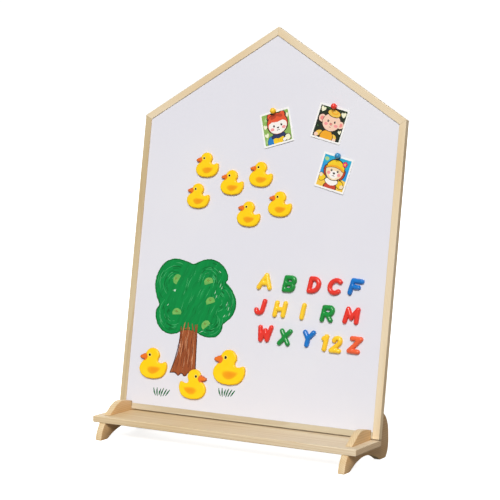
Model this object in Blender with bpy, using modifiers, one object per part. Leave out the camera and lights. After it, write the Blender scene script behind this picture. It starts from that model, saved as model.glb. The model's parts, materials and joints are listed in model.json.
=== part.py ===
"""House-shaped play easel: a framed magnetic board that stands in two slotted feet, with a lap-jointed tray.

Metres, +Z up. The board leans back towards +Y and its writing side faces -Y. The origin is on the floor, under
the middle of the whole easel. Board parts are laid out in the board's own plane: x across, y up the board from
its bottom edge, z out of the writing side, with z = 0 on the front of the wooden frame.
"""

import math

import bmesh
import bpy
from mathutils import Matrix, Vector

FIT_GAP = 0.0003  # between pieces that touch

# Board frame
BOARD_WIDTH = 0.640
EAVE_HEIGHT = 0.6534  # up the board, from its bottom edge to the eave corners
ROOF_RISE = 0.196  # from the eave corners to the ridge, along the board
BOARD_LEAN = math.radians(9.15)
FRAME_DEPTH = 0.014
STILE_FACE = 0.0155
RAFTER_FACE = 0.016
RAIL_FACE = 0.013
FRAME_ARRIS = 0.0011

# Panel pack held in the frame's groove, front to back
FRONT_LIP = 0.0022
STEEL_THICKNESS = 0.0005
CORE_THICKNESS = 0.005
BACK_THICKNESS = 0.002
PANEL_BITE = 0.0045  # how far the panels reach into the groove

# Joinery inside the frame
MITRE_KEY_LENGTH = 0.012  # across the mitre
MITRE_KEY_WIDTH = 0.006  # along the mitre
MITRE_KEY_THICKNESS = 0.0025
MITRE_KEY_INSET = 0.0075  # from the outer corner to the key's middle, along the mitre
DOWEL_RADIUS = 0.003
DOWEL_LENGTH = 0.022
DOWEL_SIDES = 16

# Tray
TRAY_END_STEP = 0.001  # how far the tray stops short of the board's side
TRAY_DEPTH = 0.1158
TRAY_THICKNESS = 0.014
TRAY_TOP = 0.0493  # above the floor
TRAY_UNDERLAP = 0.015  # how far the tray reaches behind the board's front face, at its top
TRAY_ARRIS = 0.0022
LAP_DEPTH = 0.0598  # notch in the tray's rear edge

# Feet
FOOT_THICKNESS = 0.015
FOOT_INSET = 0.0185  # from the board's side to the foot's outer face
FOOT_ARRIS = 0.0012
SEAT_CLEARANCE = 0.00034  # between the frame's lowest rear edge and the tray's top
TOE_OVERHANG = 0.0146  # in front of the tray
TOE_LENGTH = 0.024
HEEL_REACH = 0.084  # behind the board's front face, at the tray's top
HEEL_LENGTH = 0.025
ARCH_RISE = 0.0205
LOBE_TOP = 0.1015
FIN_TOP = 0.0748
FIN_REAR_TOP = 0.0694
FIN_FRONT = 0.082  # in front of the board's front face, at the tray's top

# Loose magnets
DUCK_WIDTH = 0.0575
DUCK_THICKNESS = 0.006
GLYPH_HEIGHT = 0.036
GLYPH_STROKE = 0.0096
GLYPH_THICKNESS = 0.007
GLYPH_SLANT = 0.17
CARD_WIDTH = 0.073
CARD_HEIGHT = 0.075
CARD_THICKNESS = 0.0005
PIN_RADIUS = 0.0063
PIN_HEIGHT = 0.0125
PIN_DROP = 0.001  # from the card's top edge down to the pin's middle
DISC_RADIUS = 0.004
DISC_THICKNESS = 0.0018
DISC_SIDES = 16

# Where the magnets lie: shares of half the writing width, and of the height from the rail to the eave
DUCK_PLACES = (
    ("duck_1", -0.483, 0.8325, 1.0, 3.0, False),
    ("duck_2", -0.263, 0.7760, 1.0, 0.0, False),
    ("duck_3", -0.033, 0.8075, 1.0, -2.0, False),
    ("duck_4", -0.535, 0.7255, 1.0, 0.0, False),
    ("duck_5", -0.104, 0.6725, 1.0, -3.0, False),
    ("duck_6", 0.141, 0.7110, 1.0, -2.0, False),
    ("duck_7", -0.788, 0.1430, 1.24, 2.0, False),
    ("duck_8", -0.438, 0.0870, 1.19, 0.0, True),
    ("duck_9", -0.151, 0.1565, 1.38, 0.0, False),
)
GLYPH_PLACES = (
    ("A", "yellow", 0.078, 0.4520, 0.0),
    ("B", "green", 0.270, 0.4500, 0.0),
    ("D", "red", 0.465, 0.4525, 0.0),
    ("C", "red", 0.626, 0.4525, 0.0),
    ("F", "blue", 0.782, 0.4555, -4.0),
    ("J", "red", 0.054, 0.3670, -4.0),
    ("H", "yellow", 0.213, 0.3645, 0.0),
    ("I", "yellow", 0.394, 0.3635, 0.0),
    ("R", "green", 0.585, 0.3625, 0.0),
    ("M", "red", 0.770, 0.3635, 0.0),
    ("W", "red", 0.109, 0.2800, 3.0),
    ("X", "green", 0.270, 0.2740, 0.0),
    ("Y", "blue", 0.451, 0.2765, 0.0),
    ("1", "yellow", 0.588, 0.2685, 0.0),
    ("2", "yellow", 0.672, 0.2665, 0.0),
    ("Z", "orange", 0.812, 0.2700, -2.0),
)
CARD_PLACES = (
    ("green_card", 0.056, 0.966, 16.0, "yellow"),
    ("garden_card", 0.473, 0.984, -13.5, "red"),
    ("seaside_card", 0.536, 0.822, -13.5, "blue"),
)

COLOURS = {
    "pine": (0.78, 0.62, 0.40),
    "pine_tray": (0.74, 0.57, 0.35),
    "beech": (0.62, 0.40, 0.22),
    "white_steel": (0.80, 0.79, 0.83),
    "fibreboard": (0.46, 0.33, 0.21),
    "backing": (0.72, 0.70, 0.66),
    "ceramic_magnet": (0.05, 0.05, 0.055),
    "paper": (0.86, 0.86, 0.82),
    "duck": (1.0, 0.66, 0.02),
    "yellow": (1.0, 0.68, 0.04),
    "green": (0.01, 0.32, 0.05),
    "red": (0.84, 0.04, 0.03),
    "blue": (0.01, 0.19, 0.72),
    "orange": (0.87, 0.13, 0.04),
}

# Worked out from the sizes above
APEX_HEIGHT = EAVE_HEIGHT + ROOF_RISE
SEAT_RISE = (FRAME_DEPTH * math.sin(BOARD_LEAN) + SEAT_CLEARANCE) / math.cos(BOARD_LEAN)  # along the board
PITCH = math.atan2(ROOF_RISE, BOARD_WIDTH / 2)
TRAY_LENGTH = BOARD_WIDTH - 2 * TRAY_END_STEP
BACK_REACH = (APEX_HEIGHT + SEAT_RISE) * math.sin(BOARD_LEAN) + FRAME_DEPTH * math.cos(BOARD_LEAN)
TRAY_FRONT = TRAY_DEPTH - TRAY_UNDERLAP
TOE_REACH = TRAY_FRONT + TOE_OVERHANG
BOARD_LINE = (TOE_REACH - BACK_REACH) / 2  # y where the board's front face crosses the tray's top
LEDGE = TRAY_TOP - TRAY_THICKNESS - FIT_GAP
FOOT_MIDDLE = BOARD_WIDTH / 2 - FOOT_INSET - FOOT_THICKNESS / 2
GROOVE_DEPTH = PANEL_BITE + FIT_GAP
STEEL_FRONT = -FRONT_LIP - FIT_GAP
CORE_FRONT = STEEL_FRONT - STEEL_THICKNESS - FIT_GAP
BACK_FRONT = CORE_FRONT - CORE_THICKNESS - FIT_GAP
GROOVE_BACK = BACK_FRONT - BACK_THICKNESS - FIT_GAP
MAGNET_SEAT = STEEL_FRONT + FIT_GAP
WRITING_HALF = BOARD_WIDTH / 2 - STILE_FACE
WRITING_RISE = EAVE_HEIGHT - RAIL_FACE

# Board plane to world: x across, y up the board, z out of its front
BOARD_FRAME = Matrix(
    (
        (1, 0, 0, 0),
        (0, math.sin(BOARD_LEAN), -math.cos(BOARD_LEAN), BOARD_LINE + SEAT_RISE * math.sin(BOARD_LEAN)),
        (0, math.cos(BOARD_LEAN), math.sin(BOARD_LEAN), TRAY_TOP + SEAT_RISE * math.cos(BOARD_LEAN)),
        (0, 0, 0, 1),
    )
)


def clear_scene():
    """Remove every object, so the script starts from nothing."""
    for item in list(bpy.data.objects):
        bpy.data.objects.remove(item, do_unlink=True)


def new_collection(name):
    """Return a collection linked to the scene."""
    group = bpy.data.collections.new(name)
    bpy.context.scene.collection.children.link(group)
    return group


def dressed(item, finish, roughness=0.5, metallic=0.0):
    """Give an object its own Principled material in a named colour."""
    shade = bpy.data.materials.new(item.name + "_finish")
    shade.use_nodes = True
    shader = shade.node_tree.nodes["Principled BSDF"]
    shader.inputs["Base Color"].default_value = (*COLOURS[finish], 1.0)
    shader.inputs["Roughness"].default_value = roughness
    shader.inputs["Metallic"].default_value = metallic
    item.data.materials.clear()
    item.data.materials.append(shade)
    return item


def placed(name, mesh, group, place, parent=None):
    """Add a mesh object whose world matrix is place, under an optional parent."""
    mesh.name = name
    mesh.shade_smooth()
    mesh.set_sharp_from_angle(angle=math.radians(35))
    item = bpy.data.objects.new(name, mesh)
    group.objects.link(item)
    if parent is not None:
        item.parent = parent
        item.matrix_parent_inverse = parent.matrix_world.inverted()
    item.matrix_world = place
    return item


def guide(name, place, group):
    """Add an empty that carries one moving body."""
    mark = bpy.data.objects.new(name, None)
    mark.empty_display_size = 0.03
    mark.matrix_world = place
    group.objects.link(mark)
    bpy.context.view_layer.update()
    return mark


def evaluated_mesh(item):
    """Return an object's finished shape as a new mesh, and remove the object."""
    bpy.context.view_layer.update()
    shape = item.evaluated_get(bpy.context.evaluated_depsgraph_get())
    mesh = bpy.data.meshes.new_from_object(shape)
    bpy.data.objects.remove(item, do_unlink=True)
    return mesh


def flat_solid(outline, low, high, steps=4):
    """Return a mesh: a closed outline in x and y, thickened from z = low to z = high.

    Each outline point is (x, y), a corner, or (x, y, "smooth"), where the outline runs round without a corner.
    """
    curve = bpy.data.curves.new("outline", "CURVE")
    curve.dimensions = "2D"
    curve.fill_mode = "BOTH"
    curve.extrude = (high - low) / 2
    curve.resolution_u = steps
    smooth = any(len(point) == 3 for point in outline)
    spline = curve.splines.new("BEZIER" if smooth else "POLY")
    if smooth:
        spline.bezier_points.add(len(outline) - 1)
        for knot, point in zip(spline.bezier_points, outline):
            knot.co = (point[0], point[1], 0)
            handle = "AUTO" if len(point) == 3 else "VECTOR"
            knot.handle_left_type = handle
            knot.handle_right_type = handle
    else:
        spline.points.add(len(outline) - 1)
        for knot, point in zip(spline.points, outline):
            knot.co = (point[0], point[1], 0, 1)
    spline.use_cyclic_u = True
    item = bpy.data.objects.new("outline", curve)
    bpy.context.scene.collection.objects.link(item)
    mesh = evaluated_mesh(item)
    bpy.data.curves.remove(curve)
    bm = bmesh.new()
    bm.from_mesh(mesh)
    bmesh.ops.remove_doubles(bm, verts=bm.verts, dist=1e-6)
    bmesh.ops.dissolve_limit(bm, angle_limit=math.radians(0.5), verts=bm.verts, edges=bm.edges)
    bmesh.ops.recalc_face_normals(bm, faces=bm.faces)
    bmesh.ops.translate(bm, verts=bm.verts, vec=(0, 0, (high + low) / 2))
    bm.to_mesh(mesh)
    bm.free()
    return mesh


def eased(mesh, wanted, width, segments=2):
    """Round the edges for which wanted(edge) is true."""
    bm = bmesh.new()
    bm.from_mesh(mesh)
    edges = [edge for edge in bm.edges if wanted(edge)]
    bmesh.ops.bevel(
        bm, geom=edges, offset=width, offset_type="OFFSET", segments=segments, profile=0.5, affect="EDGES",
        clamp_overlap=True, material=-1,
    )
    bm.to_mesh(mesh)
    bm.free()
    return mesh


def cut_by(item, tool, operation="DIFFERENCE"):
    """Add an exact Boolean to item that uses tool."""
    cut = item.modifiers.new(tool.name, "BOOLEAN")
    cut.operation = operation
    cut.solver = "EXACT"
    cut.object = tool


def cutter(name, mesh, place, group):
    """Add a mesh that only cuts: drawn as wire and never rendered."""
    tool = placed(name, mesh, group, place)
    tool.hide_render = True
    tool.display_type = "WIRE"
    return tool


def block(length, width, height):
    """Return a box mesh centred on its origin."""
    mesh = bpy.data.meshes.new("block")
    bm = bmesh.new()
    bmesh.ops.create_cube(bm, size=1.0, matrix=Matrix.Diagonal((length, width, height, 1.0)))
    bm.to_mesh(mesh)
    bm.free()
    return mesh


def round_bar(radius, length, sides):
    """Return a cylinder mesh along its own z, centred on its origin."""
    mesh = bpy.data.meshes.new("round_bar")
    bm = bmesh.new()
    bmesh.ops.create_cone(bm, cap_ends=True, segments=sides, radius1=radius, radius2=radius, depth=length)
    bm.to_mesh(mesh)
    bm.free()
    return mesh


def house(side, slope, base):
    """Return the board's five corners, drawn in by side, by slope under the roof, and standing on base."""
    half = BOARD_WIDTH / 2 - side
    ridge = APEX_HEIGHT - slope / math.cos(PITCH)
    eave = ridge - half * math.tan(PITCH)
    return [(-half, base), (half, base), (half, eave), (0, ridge), (-half, eave)]


def frame_house(depth):
    """Return the house outline that lies depth outside the frame's opening all round."""
    return house(STILE_FACE - depth, RAFTER_FACE - depth, RAIL_FACE - depth)


def shortened(outer_a, inner_a, inner_b, outer_b, open_a=True, open_b=True):
    """Return a bar's four corners, with half the joint gap taken off each end that meets another bar."""
    along = (Vector(outer_b) - Vector(outer_a)).normalized()
    corners = []
    for outer, inner, joined, way in ((outer_a, inner_a, open_a, 1), (inner_b, outer_b, open_b, -1)):
        end = (Vector(inner) - Vector(outer)).normalized()
        step = FIT_GAP / 2 / abs(along.cross(end)) if joined else 0.0
        corners += [tuple(Vector(point) + along * step * way) for point in (outer, inner)]
    return corners


def bar(name, corners, group, carrier):
    """Add one grooved frame bar with rounded long edges."""
    mesh = flat_solid(corners, -FRAME_DEPTH, 0)
    along = (Vector(corners[3]) - Vector(corners[0])).normalized()

    def is_long(edge):
        way = (edge.verts[0].co - edge.verts[1].co).normalized()
        return abs(way.x * along.x + way.y * along.y) > 0.999

    return dressed(placed(name, eased(mesh, is_long, FRAME_ARRIS), group, BOARD_FRAME, carrier), "pine")


def mitre_key(name, corner, inner, group, tools, carrier, bars):
    """Add a key inside a mitre, with its slot in both bars."""
    way = (Vector(inner) - Vector(corner)).normalized()
    middle = Vector(corner) + way * MITRE_KEY_INSET
    turn = Matrix.Rotation(math.atan2(way.y, way.x), 4, "Z")
    place = BOARD_FRAME @ Matrix.Translation((middle.x, middle.y, -FRAME_DEPTH / 2)) @ turn
    size = (MITRE_KEY_WIDTH, MITRE_KEY_LENGTH, MITRE_KEY_THICKNESS)
    dressed(placed(name, block(*size), group, place, carrier), "beech")
    slot = cutter(name + "_slot", block(*(side + 2 * FIT_GAP for side in size)), place, tools)
    for item in bars:
        cut_by(item, slot)


def rail_dowel(name, side, group, tools, carrier, bars):
    """Add a dowel between the rail's end and a stile, with its hole in both."""
    place = (
        BOARD_FRAME
        @ Matrix.Translation((side * WRITING_HALF, (RAIL_FACE - GROOVE_DEPTH) / 2, -FRAME_DEPTH / 2))
        @ Matrix.Rotation(math.pi / 2, 4, "Y")
    )
    dressed(placed(name, round_bar(DOWEL_RADIUS, DOWEL_LENGTH, DOWEL_SIDES), group, place, carrier), "beech")
    hole_mesh = round_bar(DOWEL_RADIUS + FIT_GAP, DOWEL_LENGTH + 2 * FIT_GAP, DOWEL_SIDES)
    hole = cutter(name + "_hole", hole_mesh, place, tools)
    for item in bars:
        cut_by(item, hole)


def build_frame(group, tools, carrier):
    """Add the five bars of the board's frame and what joins them."""
    outer = house(0, 0, 0)
    opening = frame_house(0)
    rail_half = WRITING_HALF - FIT_GAP
    rail_corners = [(-rail_half, 0), (-rail_half, RAIL_FACE), (rail_half, RAIL_FACE), (rail_half, 0)]
    groove_mesh = flat_solid(frame_house(GROOVE_DEPTH), GROOVE_BACK, -FRONT_LIP)
    groove = cutter("panel_groove", groove_mesh, BOARD_FRAME, tools)
    bars = {"bottom_rail": bar("bottom_rail", rail_corners, group, carrier)}
    for name, side, foot, eave in (("left", -1, 0, 4), ("right", 1, 1, 2)):
        stile_foot = (side * WRITING_HALF, 0)
        stile = shortened(outer[foot], stile_foot, opening[eave], outer[eave], open_a=False)
        rafter = shortened(outer[eave], opening[eave], opening[3], outer[3])
        bars[name + "_stile"] = bar(name + "_stile", stile, group, carrier)
        bars[name + "_rafter"] = bar(name + "_rafter", rafter, group, carrier)
    for item in bars.values():
        cut_by(item, groove)
    for name, side, eave in (("left", -1, 4), ("right", 1, 2)):
        stile = bars[name + "_stile"]
        mitre = (stile, bars[name + "_rafter"])
        mitre_key(name + "_eave_key", outer[eave], opening[eave], group, tools, carrier, mitre)
        rail_dowel(name + "_rail_dowel", side, group, tools, carrier, (stile, bars["bottom_rail"]))
    ridge = (bars["left_rafter"], bars["right_rafter"])
    mitre_key("ridge_key", outer[3], opening[3], group, tools, carrier, ridge)


def build_panels(group, carrier):
    """Add the steel writing sheet, its core and its backing."""
    outline = frame_house(PANEL_BITE)
    for name, front, thickness, finish, roughness in (
        ("writing_sheet", STEEL_FRONT, STEEL_THICKNESS, "white_steel", 0.25),
        ("core_board", CORE_FRONT, CORE_THICKNESS, "fibreboard", 0.8),
        ("backing_board", BACK_FRONT, BACK_THICKNESS, "backing", 0.6),
    ):
        mesh = flat_solid(outline, front - thickness, front)
        dressed(placed(name, mesh, group, BOARD_FRAME, carrier), finish, roughness)


def face_offset(height, out):
    """Return how far behind the board line a plane parallel to the board lies at a height above the floor."""
    return (height - TRAY_TOP) * math.tan(BOARD_LEAN) - out / math.cos(BOARD_LEAN)


def foot_outline():
    """Return the foot's side profile: distance behind the board line, and height above the floor."""
    lap_end = TRAY_UNDERLAP - LAP_DEPTH + FIT_GAP
    toe = -TOE_REACH
    heel = HEEL_REACH
    lean = Vector((math.sin(BOARD_LEAN), math.cos(BOARD_LEAN)))
    out = Vector((-lean.y, lean.x))
    seat = Vector((0, TRAY_TOP)) + lean * (SEAT_RISE - FIT_GAP)
    seat_front = seat + out * FIT_GAP
    seat_back = seat - out * (FRAME_DEPTH + FIT_GAP)
    lip = LOBE_TOP - 0.003
    crest = FIN_TOP - TRAY_TOP
    return [
        (-TRAY_FRONT, LEDGE),
        (toe + 0.0048, LEDGE / 2, "smooth"),
        (toe, 0.0015),
        (toe + 0.0008, 0),
        (toe + TOE_LENGTH, 0),
        (toe + TOE_LENGTH + 0.031, ARCH_RISE * 0.7, "smooth"),
        (toe + TOE_LENGTH + 0.073, ARCH_RISE, "smooth"),
        (heel - HEEL_LENGTH - 0.035, ARCH_RISE * 0.54, "smooth"),
        (heel - HEEL_LENGTH - 0.012, 0),
        (heel - 0.012, 0),
        (heel - 0.0025, 0.014, "smooth"),
        (heel, LOBE_TOP * 0.47, "smooth"),
        (heel - 0.005, LOBE_TOP * 0.72, "smooth"),
        (heel - 0.022, LOBE_TOP * 0.925, "smooth"),
        (heel - 0.041, LOBE_TOP, "smooth"),
        (face_offset(lip, -FRAME_DEPTH - FIT_GAP), lip),
        tuple(seat_back),
        tuple(seat_front),
        (face_offset(FIN_REAR_TOP, FIT_GAP), FIN_REAR_TOP),
        (-0.0255, FIN_TOP - crest * 0.02, "smooth"),
        (-0.0376, FIN_TOP, "smooth"),
        (-0.055, FIN_TOP - crest * 0.22, "smooth"),
        (-0.069, FIN_TOP - crest * 0.61, "smooth"),
        (-FIN_FRONT, TRAY_TOP + 0.0014),
        (-FIN_FRONT, TRAY_TOP + FIT_GAP),
        (lap_end, TRAY_TOP + FIT_GAP),
        (lap_end, LEDGE),
    ]


def build_feet(group):
    """Add both feet: thick plates with a slot for the board and a lap for the tray."""
    profile = foot_outline()
    half = FOOT_THICKNESS / 2
    seat = min(point[1] for point in profile[16:18])

    def is_rim(edge):
        ends = [vert.co for vert in edge.verts]
        in_lap = all(LEDGE - 0.001 < end.y < TRAY_TOP + 0.0015 and end.x < 0 for end in ends)
        in_slot = all(end.y > seat - 0.001 and abs(end.x - face_offset(end.y, 0)) < 0.001 for end in ends)
        in_slot |= all(abs(end.x - face_offset(end.y, -FRAME_DEPTH)) < 0.001 for end in ends)
        return abs(ends[0].z - ends[1].z) < 1e-6 and not in_lap and not in_slot

    turned = Matrix(((0, 0, 1, 0), (1, 0, 0, BOARD_LINE), (0, 1, 0, 0), (0, 0, 0, 1)))
    for name, side in (("left_foot", -1), ("right_foot", 1)):
        mesh = eased(flat_solid(profile, -half, half), is_rim, FOOT_ARRIS)
        place = Matrix.Translation((side * FOOT_MIDDLE, 0, 0)) @ turned
        dressed(placed(name, mesh, group, place), "pine")


def build_tray(group):
    """Add the tray, with a notch in its rear edge for each foot."""
    rear = TRAY_UNDERLAP
    front = -TRAY_FRONT
    half = TRAY_LENGTH / 2
    notch_in = FOOT_MIDDLE - FOOT_THICKNESS / 2 - FIT_GAP
    notch_out = FOOT_MIDDLE + FOOT_THICKNESS / 2 + FIT_GAP
    notch_end = rear - LAP_DEPTH
    right_side = [
        (notch_in, rear),
        (notch_in, notch_end),
        (notch_out, notch_end),
        (notch_out, rear),
        (half, rear),
        (half, front),
    ]
    outline = right_side + [(-x, y) for x, y in reversed(right_side)]

    def is_outer(edge):
        ends = [vert.co for vert in edge.verts]
        at_front = all(abs(end.y - front) < 1e-5 for end in ends)
        at_end = all(abs(abs(end.x) - half) < 1e-5 for end in ends)
        return at_front or at_end

    mesh = eased(flat_solid(outline, -TRAY_THICKNESS, 0), is_outer, TRAY_ARRIS, 3)
    slide = guide("tray_slide", Matrix.Translation((0, BOARD_LINE, TRAY_TOP)), group)
    dressed(placed("tray", mesh, group, slide.matrix_world.copy(), slide), "pine_tray")


def board_spot(across, up, out=MAGNET_SEAT, turn=0.0):
    """Return the place of a piece on the board, from shares of the writing area and a turn in degrees."""
    spot = Matrix.Translation((across * WRITING_HALF, RAIL_FACE + up * WRITING_RISE, out))
    return BOARD_FRAME @ spot @ Matrix.Rotation(math.radians(turn), 4, "Z")


def duck_outline(width):
    """Return a duck's outline, facing -x, in shares of half its width."""
    half = width / 2
    shape = (
        (-0.98, 0.38, "smooth"),
        (-0.80, 0.53, "smooth"),
        (-0.57, 0.61),
        (-0.41, 0.83, "smooth"),
        (-0.08, 0.95, "smooth"),
        (0.28, 0.80, "smooth"),
        (0.43, 0.46, "smooth"),
        (0.33, 0.16, "smooth"),
        (0.43, 0.04),
        (0.64, 0.04, "smooth"),
        (0.89, 0.12, "smooth"),
        (1.00, -0.12, "smooth"),
        (0.96, -0.44, "smooth"),
        (0.73, -0.77, "smooth"),
        (0.34, -0.92, "smooth"),
        (-0.10, -0.95, "smooth"),
        (-0.62, -0.84, "smooth"),
        (-0.93, -0.54, "smooth"),
        (-0.98, -0.24, "smooth"),
        (-0.84, 0.04, "smooth"),
        (-0.64, 0.24),
        (-0.80, 0.25, "smooth"),
    )
    return [(point[0] * half, point[1] * half, *point[2:]) for point in shape]


def magnet_disc(name, seat, group, carrier):
    """Add the round magnet let into the back of a piece."""
    lift = Matrix.Translation((0, 0, DISC_THICKNESS / 2))
    disc = round_bar(DISC_RADIUS, DISC_THICKNESS, DISC_SIDES)
    dressed(placed(name, disc, group, seat @ lift, carrier), "ceramic_magnet", 0.6)


def build_ducks(group, tools, carrier):
    """Add the duck magnets, each with its disc in a pocket."""
    for name, across, up, scale, turn, mirrored in DUCK_PLACES:
        seat = board_spot(across, up, turn=turn)
        slide = guide(name + "_slide", seat, group)
        slide.parent = carrier
        slide.matrix_parent_inverse = carrier.matrix_world.inverted()
        outline = duck_outline(DUCK_WIDTH * scale)
        if mirrored:
            outline = [(-point[0], *point[1:]) for point in outline]
        mesh = flat_solid(outline, 0, DUCK_THICKNESS, steps=3)
        duck = dressed(placed(name, mesh, group, seat, slide), "duck", 0.4)
        pocket_depth = DISC_THICKNESS + FIT_GAP
        pocket_mesh = round_bar(DISC_RADIUS + FIT_GAP, 2 * pocket_depth, DISC_SIDES)
        cut_by(duck, cutter(name + "_pocket", pocket_mesh, seat, tools))
        magnet_disc(name + "_magnet", seat, group, slide)


def arc(centre, radius, start, end, steps):
    """Return points along a circular arc, angles in degrees."""
    angles = [math.radians(start + (end - start) * step / steps) for step in range(steps + 1)]
    return [(centre[0] + radius * math.cos(a), centre[1] + radius * math.sin(a)) for a in angles]


def glyph_strokes(glyph):
    """Return the centre lines of a letter or number, in metres, upright and about its middle."""
    up = (GLYPH_HEIGHT - GLYPH_STROKE) / 2
    wide = up * 0.76
    bowl = up / 2
    bowl_x = wide - bowl
    hook = up * 0.55
    strokes = {
        "A": [[(-up, -up), (0, up)], [(0, up), (up, -up)], [(-up * 0.62, -up * 0.3), (up * 0.62, -up * 0.3)]],
        "B": [
            [(-wide, -up), (-wide, up)],
            [(-wide, up)] + arc((bowl_x, bowl), bowl, 90, -90, 8) + [(-wide, 0)],
            [(-wide, -up)] + arc((bowl_x, -bowl), bowl, -90, 90, 8),
        ],
        "D": [[(-wide, -up), (-wide, up)], [(-wide, up)] + arc((wide - up, 0), up, 90, -90, 12) + [(-wide, -up)]],
        "C": [arc((0.05 * up, 0), up, 48, 312, 16)],
        "F": [[(-wide, -up), (-wide, up)], [(-wide, up), (wide, up)], [(-wide, 0), (wide * 0.6, 0)]],
        "J": [[(hook, up)] + arc((0, hook - up), hook, 0, -170, 9)],
        "H": [[(-wide, -up), (-wide, up)], [(wide, -up), (wide, up)], [(-wide, 0), (wide, 0)]],
        "I": [[(0, -up), (0, up)]],
        "R": [
            [(-wide, -up), (-wide, up)],
            [(-wide, up)] + arc((wide - hook, up - hook), hook, 90, -90, 8) + [(-wide, up - 2 * hook)],
            [(0, up - 2 * hook), (wide, -up)],
        ],
        "M": [
            [(-up, -up), (-up * 0.85, up)],
            [(-up * 0.85, up), (0, -up * 0.4)],
            [(0, -up * 0.4), (up * 0.85, up)],
            [(up * 0.85, up), (up, -up)],
        ],
        "W": [
            [(-up, up), (-up * 0.6, -up)],
            [(-up * 0.6, -up), (0, up * 0.5)],
            [(0, up * 0.5), (up * 0.6, -up)],
            [(up * 0.6, -up), (up, up)],
        ],
        "X": [[(-wide, -up), (wide, up)], [(-wide, up), (wide, -up)]],
        "Y": [[(-wide, up), (0, 0)], [(wide, up), (0, 0)], [(0, 0), (0, -up)]],
        "1": [[(0, -up), (0, up)], [(0, up), (-wide * 0.6, up * 0.62)]],
        "2": [
            arc((0, up - hook), hook, 165, -38, 10) + [(-wide * 0.9, -up)],
            [(-wide * 0.9, -up), (wide * 0.9, -up)],
        ],
        "Z": [[(-wide, up), (wide, up)], [(wide, up), (-wide, -up)], [(-wide, -up), (wide, -up)]],
    }
    return [[(x + GLYPH_SLANT * y, y) for x, y in stroke] for stroke in strokes[glyph]]


def ribbon(points, half):
    """Return the outline of a stroke of even width with round ends."""
    line = [Vector(point) for point in points]
    ways = [(after - before).normalized() for before, after in zip(line, line[1:])]
    ways = [ways[0]] + ways + [ways[-1]]
    sides = []
    for point, before, after in zip(line, ways, ways[1:]):
        middle = (before + after).normalized()
        reach = half / middle.dot(before)
        sides.append((point, Vector((-middle.y, middle.x)) * reach))
    left = [tuple(point + side) for point, side in sides]
    right = [tuple(point - side) for point, side in reversed(sides)]
    tip_turn = math.degrees(math.atan2(ways[-1].y, ways[-1].x))
    tail_turn = math.degrees(math.atan2(ways[0].y, ways[0].x))
    tip = arc(line[-1], half, tip_turn + 90, tip_turn - 90, 8)[1:-1]
    tail = arc(line[0], half, tail_turn - 90, tail_turn - 270, 8)[1:-1]
    return left + tip + right + tail


def glyph_mesh(glyph):
    """Return a letter or number as one solid, its strokes joined."""
    scene_group = bpy.context.scene.collection
    parts = []
    for index, stroke in enumerate(glyph_strokes(glyph)):
        mesh = flat_solid(ribbon(stroke, GLYPH_STROKE / 2), 0, GLYPH_THICKNESS)
        parts.append(placed(f"stroke_{index}", mesh, scene_group, Matrix()))
    for other in parts[1:]:
        cut_by(parts[0], other, "UNION")
    mesh = evaluated_mesh(parts[0])
    for other in parts[1:]:
        bpy.data.objects.remove(other, do_unlink=True)
    bm = bmesh.new()
    bm.from_mesh(mesh)
    bmesh.ops.dissolve_limit(bm, angle_limit=math.radians(1), verts=bm.verts, edges=bm.edges)
    bm.to_mesh(mesh)
    bm.free()
    return mesh


def build_glyphs(group, carrier):
    """Add the letter and number magnets."""
    for glyph, colour, across, up, turn in GLYPH_PLACES:
        name = ("number_" if glyph.isdigit() else "letter_") + glyph.lower()
        seat = board_spot(across, up, turn=turn)
        dressed(placed(name, glyph_mesh(glyph), group, seat, carrier), colour, 0.35)


def pin_mesh():
    """Return a round-headed pin magnet, turned from its profile, with a pocket under its base."""
    foot = PIN_RADIUS * 0.8
    pocket = DISC_THICKNESS + FIT_GAP
    rim = DISC_RADIUS + FIT_GAP
    head = arc((0, PIN_HEIGHT - PIN_RADIUS), PIN_RADIUS, 90, -math.degrees(math.acos(0.8)), 9)
    profile = head + [(foot, 0), (rim, 0), (rim, pocket), (0, pocket)]
    profile[0] = (0, PIN_HEIGHT)
    mesh = bpy.data.meshes.new("pin_profile")
    bm = bmesh.new()
    verts = [bm.verts.new((r, 0, z)) for r, z in profile]
    for first, second in zip(verts, verts[1:]):
        bm.edges.new((first, second))
    bm.to_mesh(mesh)
    bm.free()
    item = bpy.data.objects.new("pin_profile", mesh)
    bpy.context.scene.collection.objects.link(item)
    turn = item.modifiers.new("turn", "SCREW")
    turn.steps = 20
    turn.render_steps = 20
    turn.use_merge_vertices = True
    turn.merge_threshold = 0.00001
    turn.use_normal_calculate = True
    return evaluated_mesh(item)


def build_cards(group, carrier):
    """Add the picture cards, each with its pin magnet over its top edge."""
    for name, across, up, turn, colour in CARD_PLACES:
        middle = board_spot(across, up, turn=turn)
        slide = guide(name + "_slide", middle, group)
        slide.parent = carrier
        slide.matrix_parent_inverse = carrier.matrix_world.inverted()
        lift = Matrix.Translation((0, 0, CARD_THICKNESS / 2))
        card = block(CARD_WIDTH, CARD_HEIGHT, CARD_THICKNESS)
        dressed(placed(name, card, group, middle @ lift, slide), "paper", 0.5)
        edge = Matrix.Translation((0, CARD_HEIGHT / 2 - PIN_DROP, CARD_THICKNESS + FIT_GAP))
        pin = placed(f"{colour}_pin", pin_mesh(), group, middle @ edge, slide)
        dressed(pin, colour, 0.35)
        magnet_disc(f"{colour}_pin_magnet", middle @ edge, group, pin)


def main():
    """Build the whole easel."""
    clear_scene()
    group = new_collection("kids_easel")
    tools = new_collection("cutters")
    carrier = guide("board_slide", BOARD_FRAME, group)
    build_feet(group)
    build_tray(group)
    build_frame(group, tools, carrier)
    build_panels(group, carrier)
    build_ducks(group, tools, carrier)
    build_glyphs(group, carrier)
    build_cards(group, carrier)


main()
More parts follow.
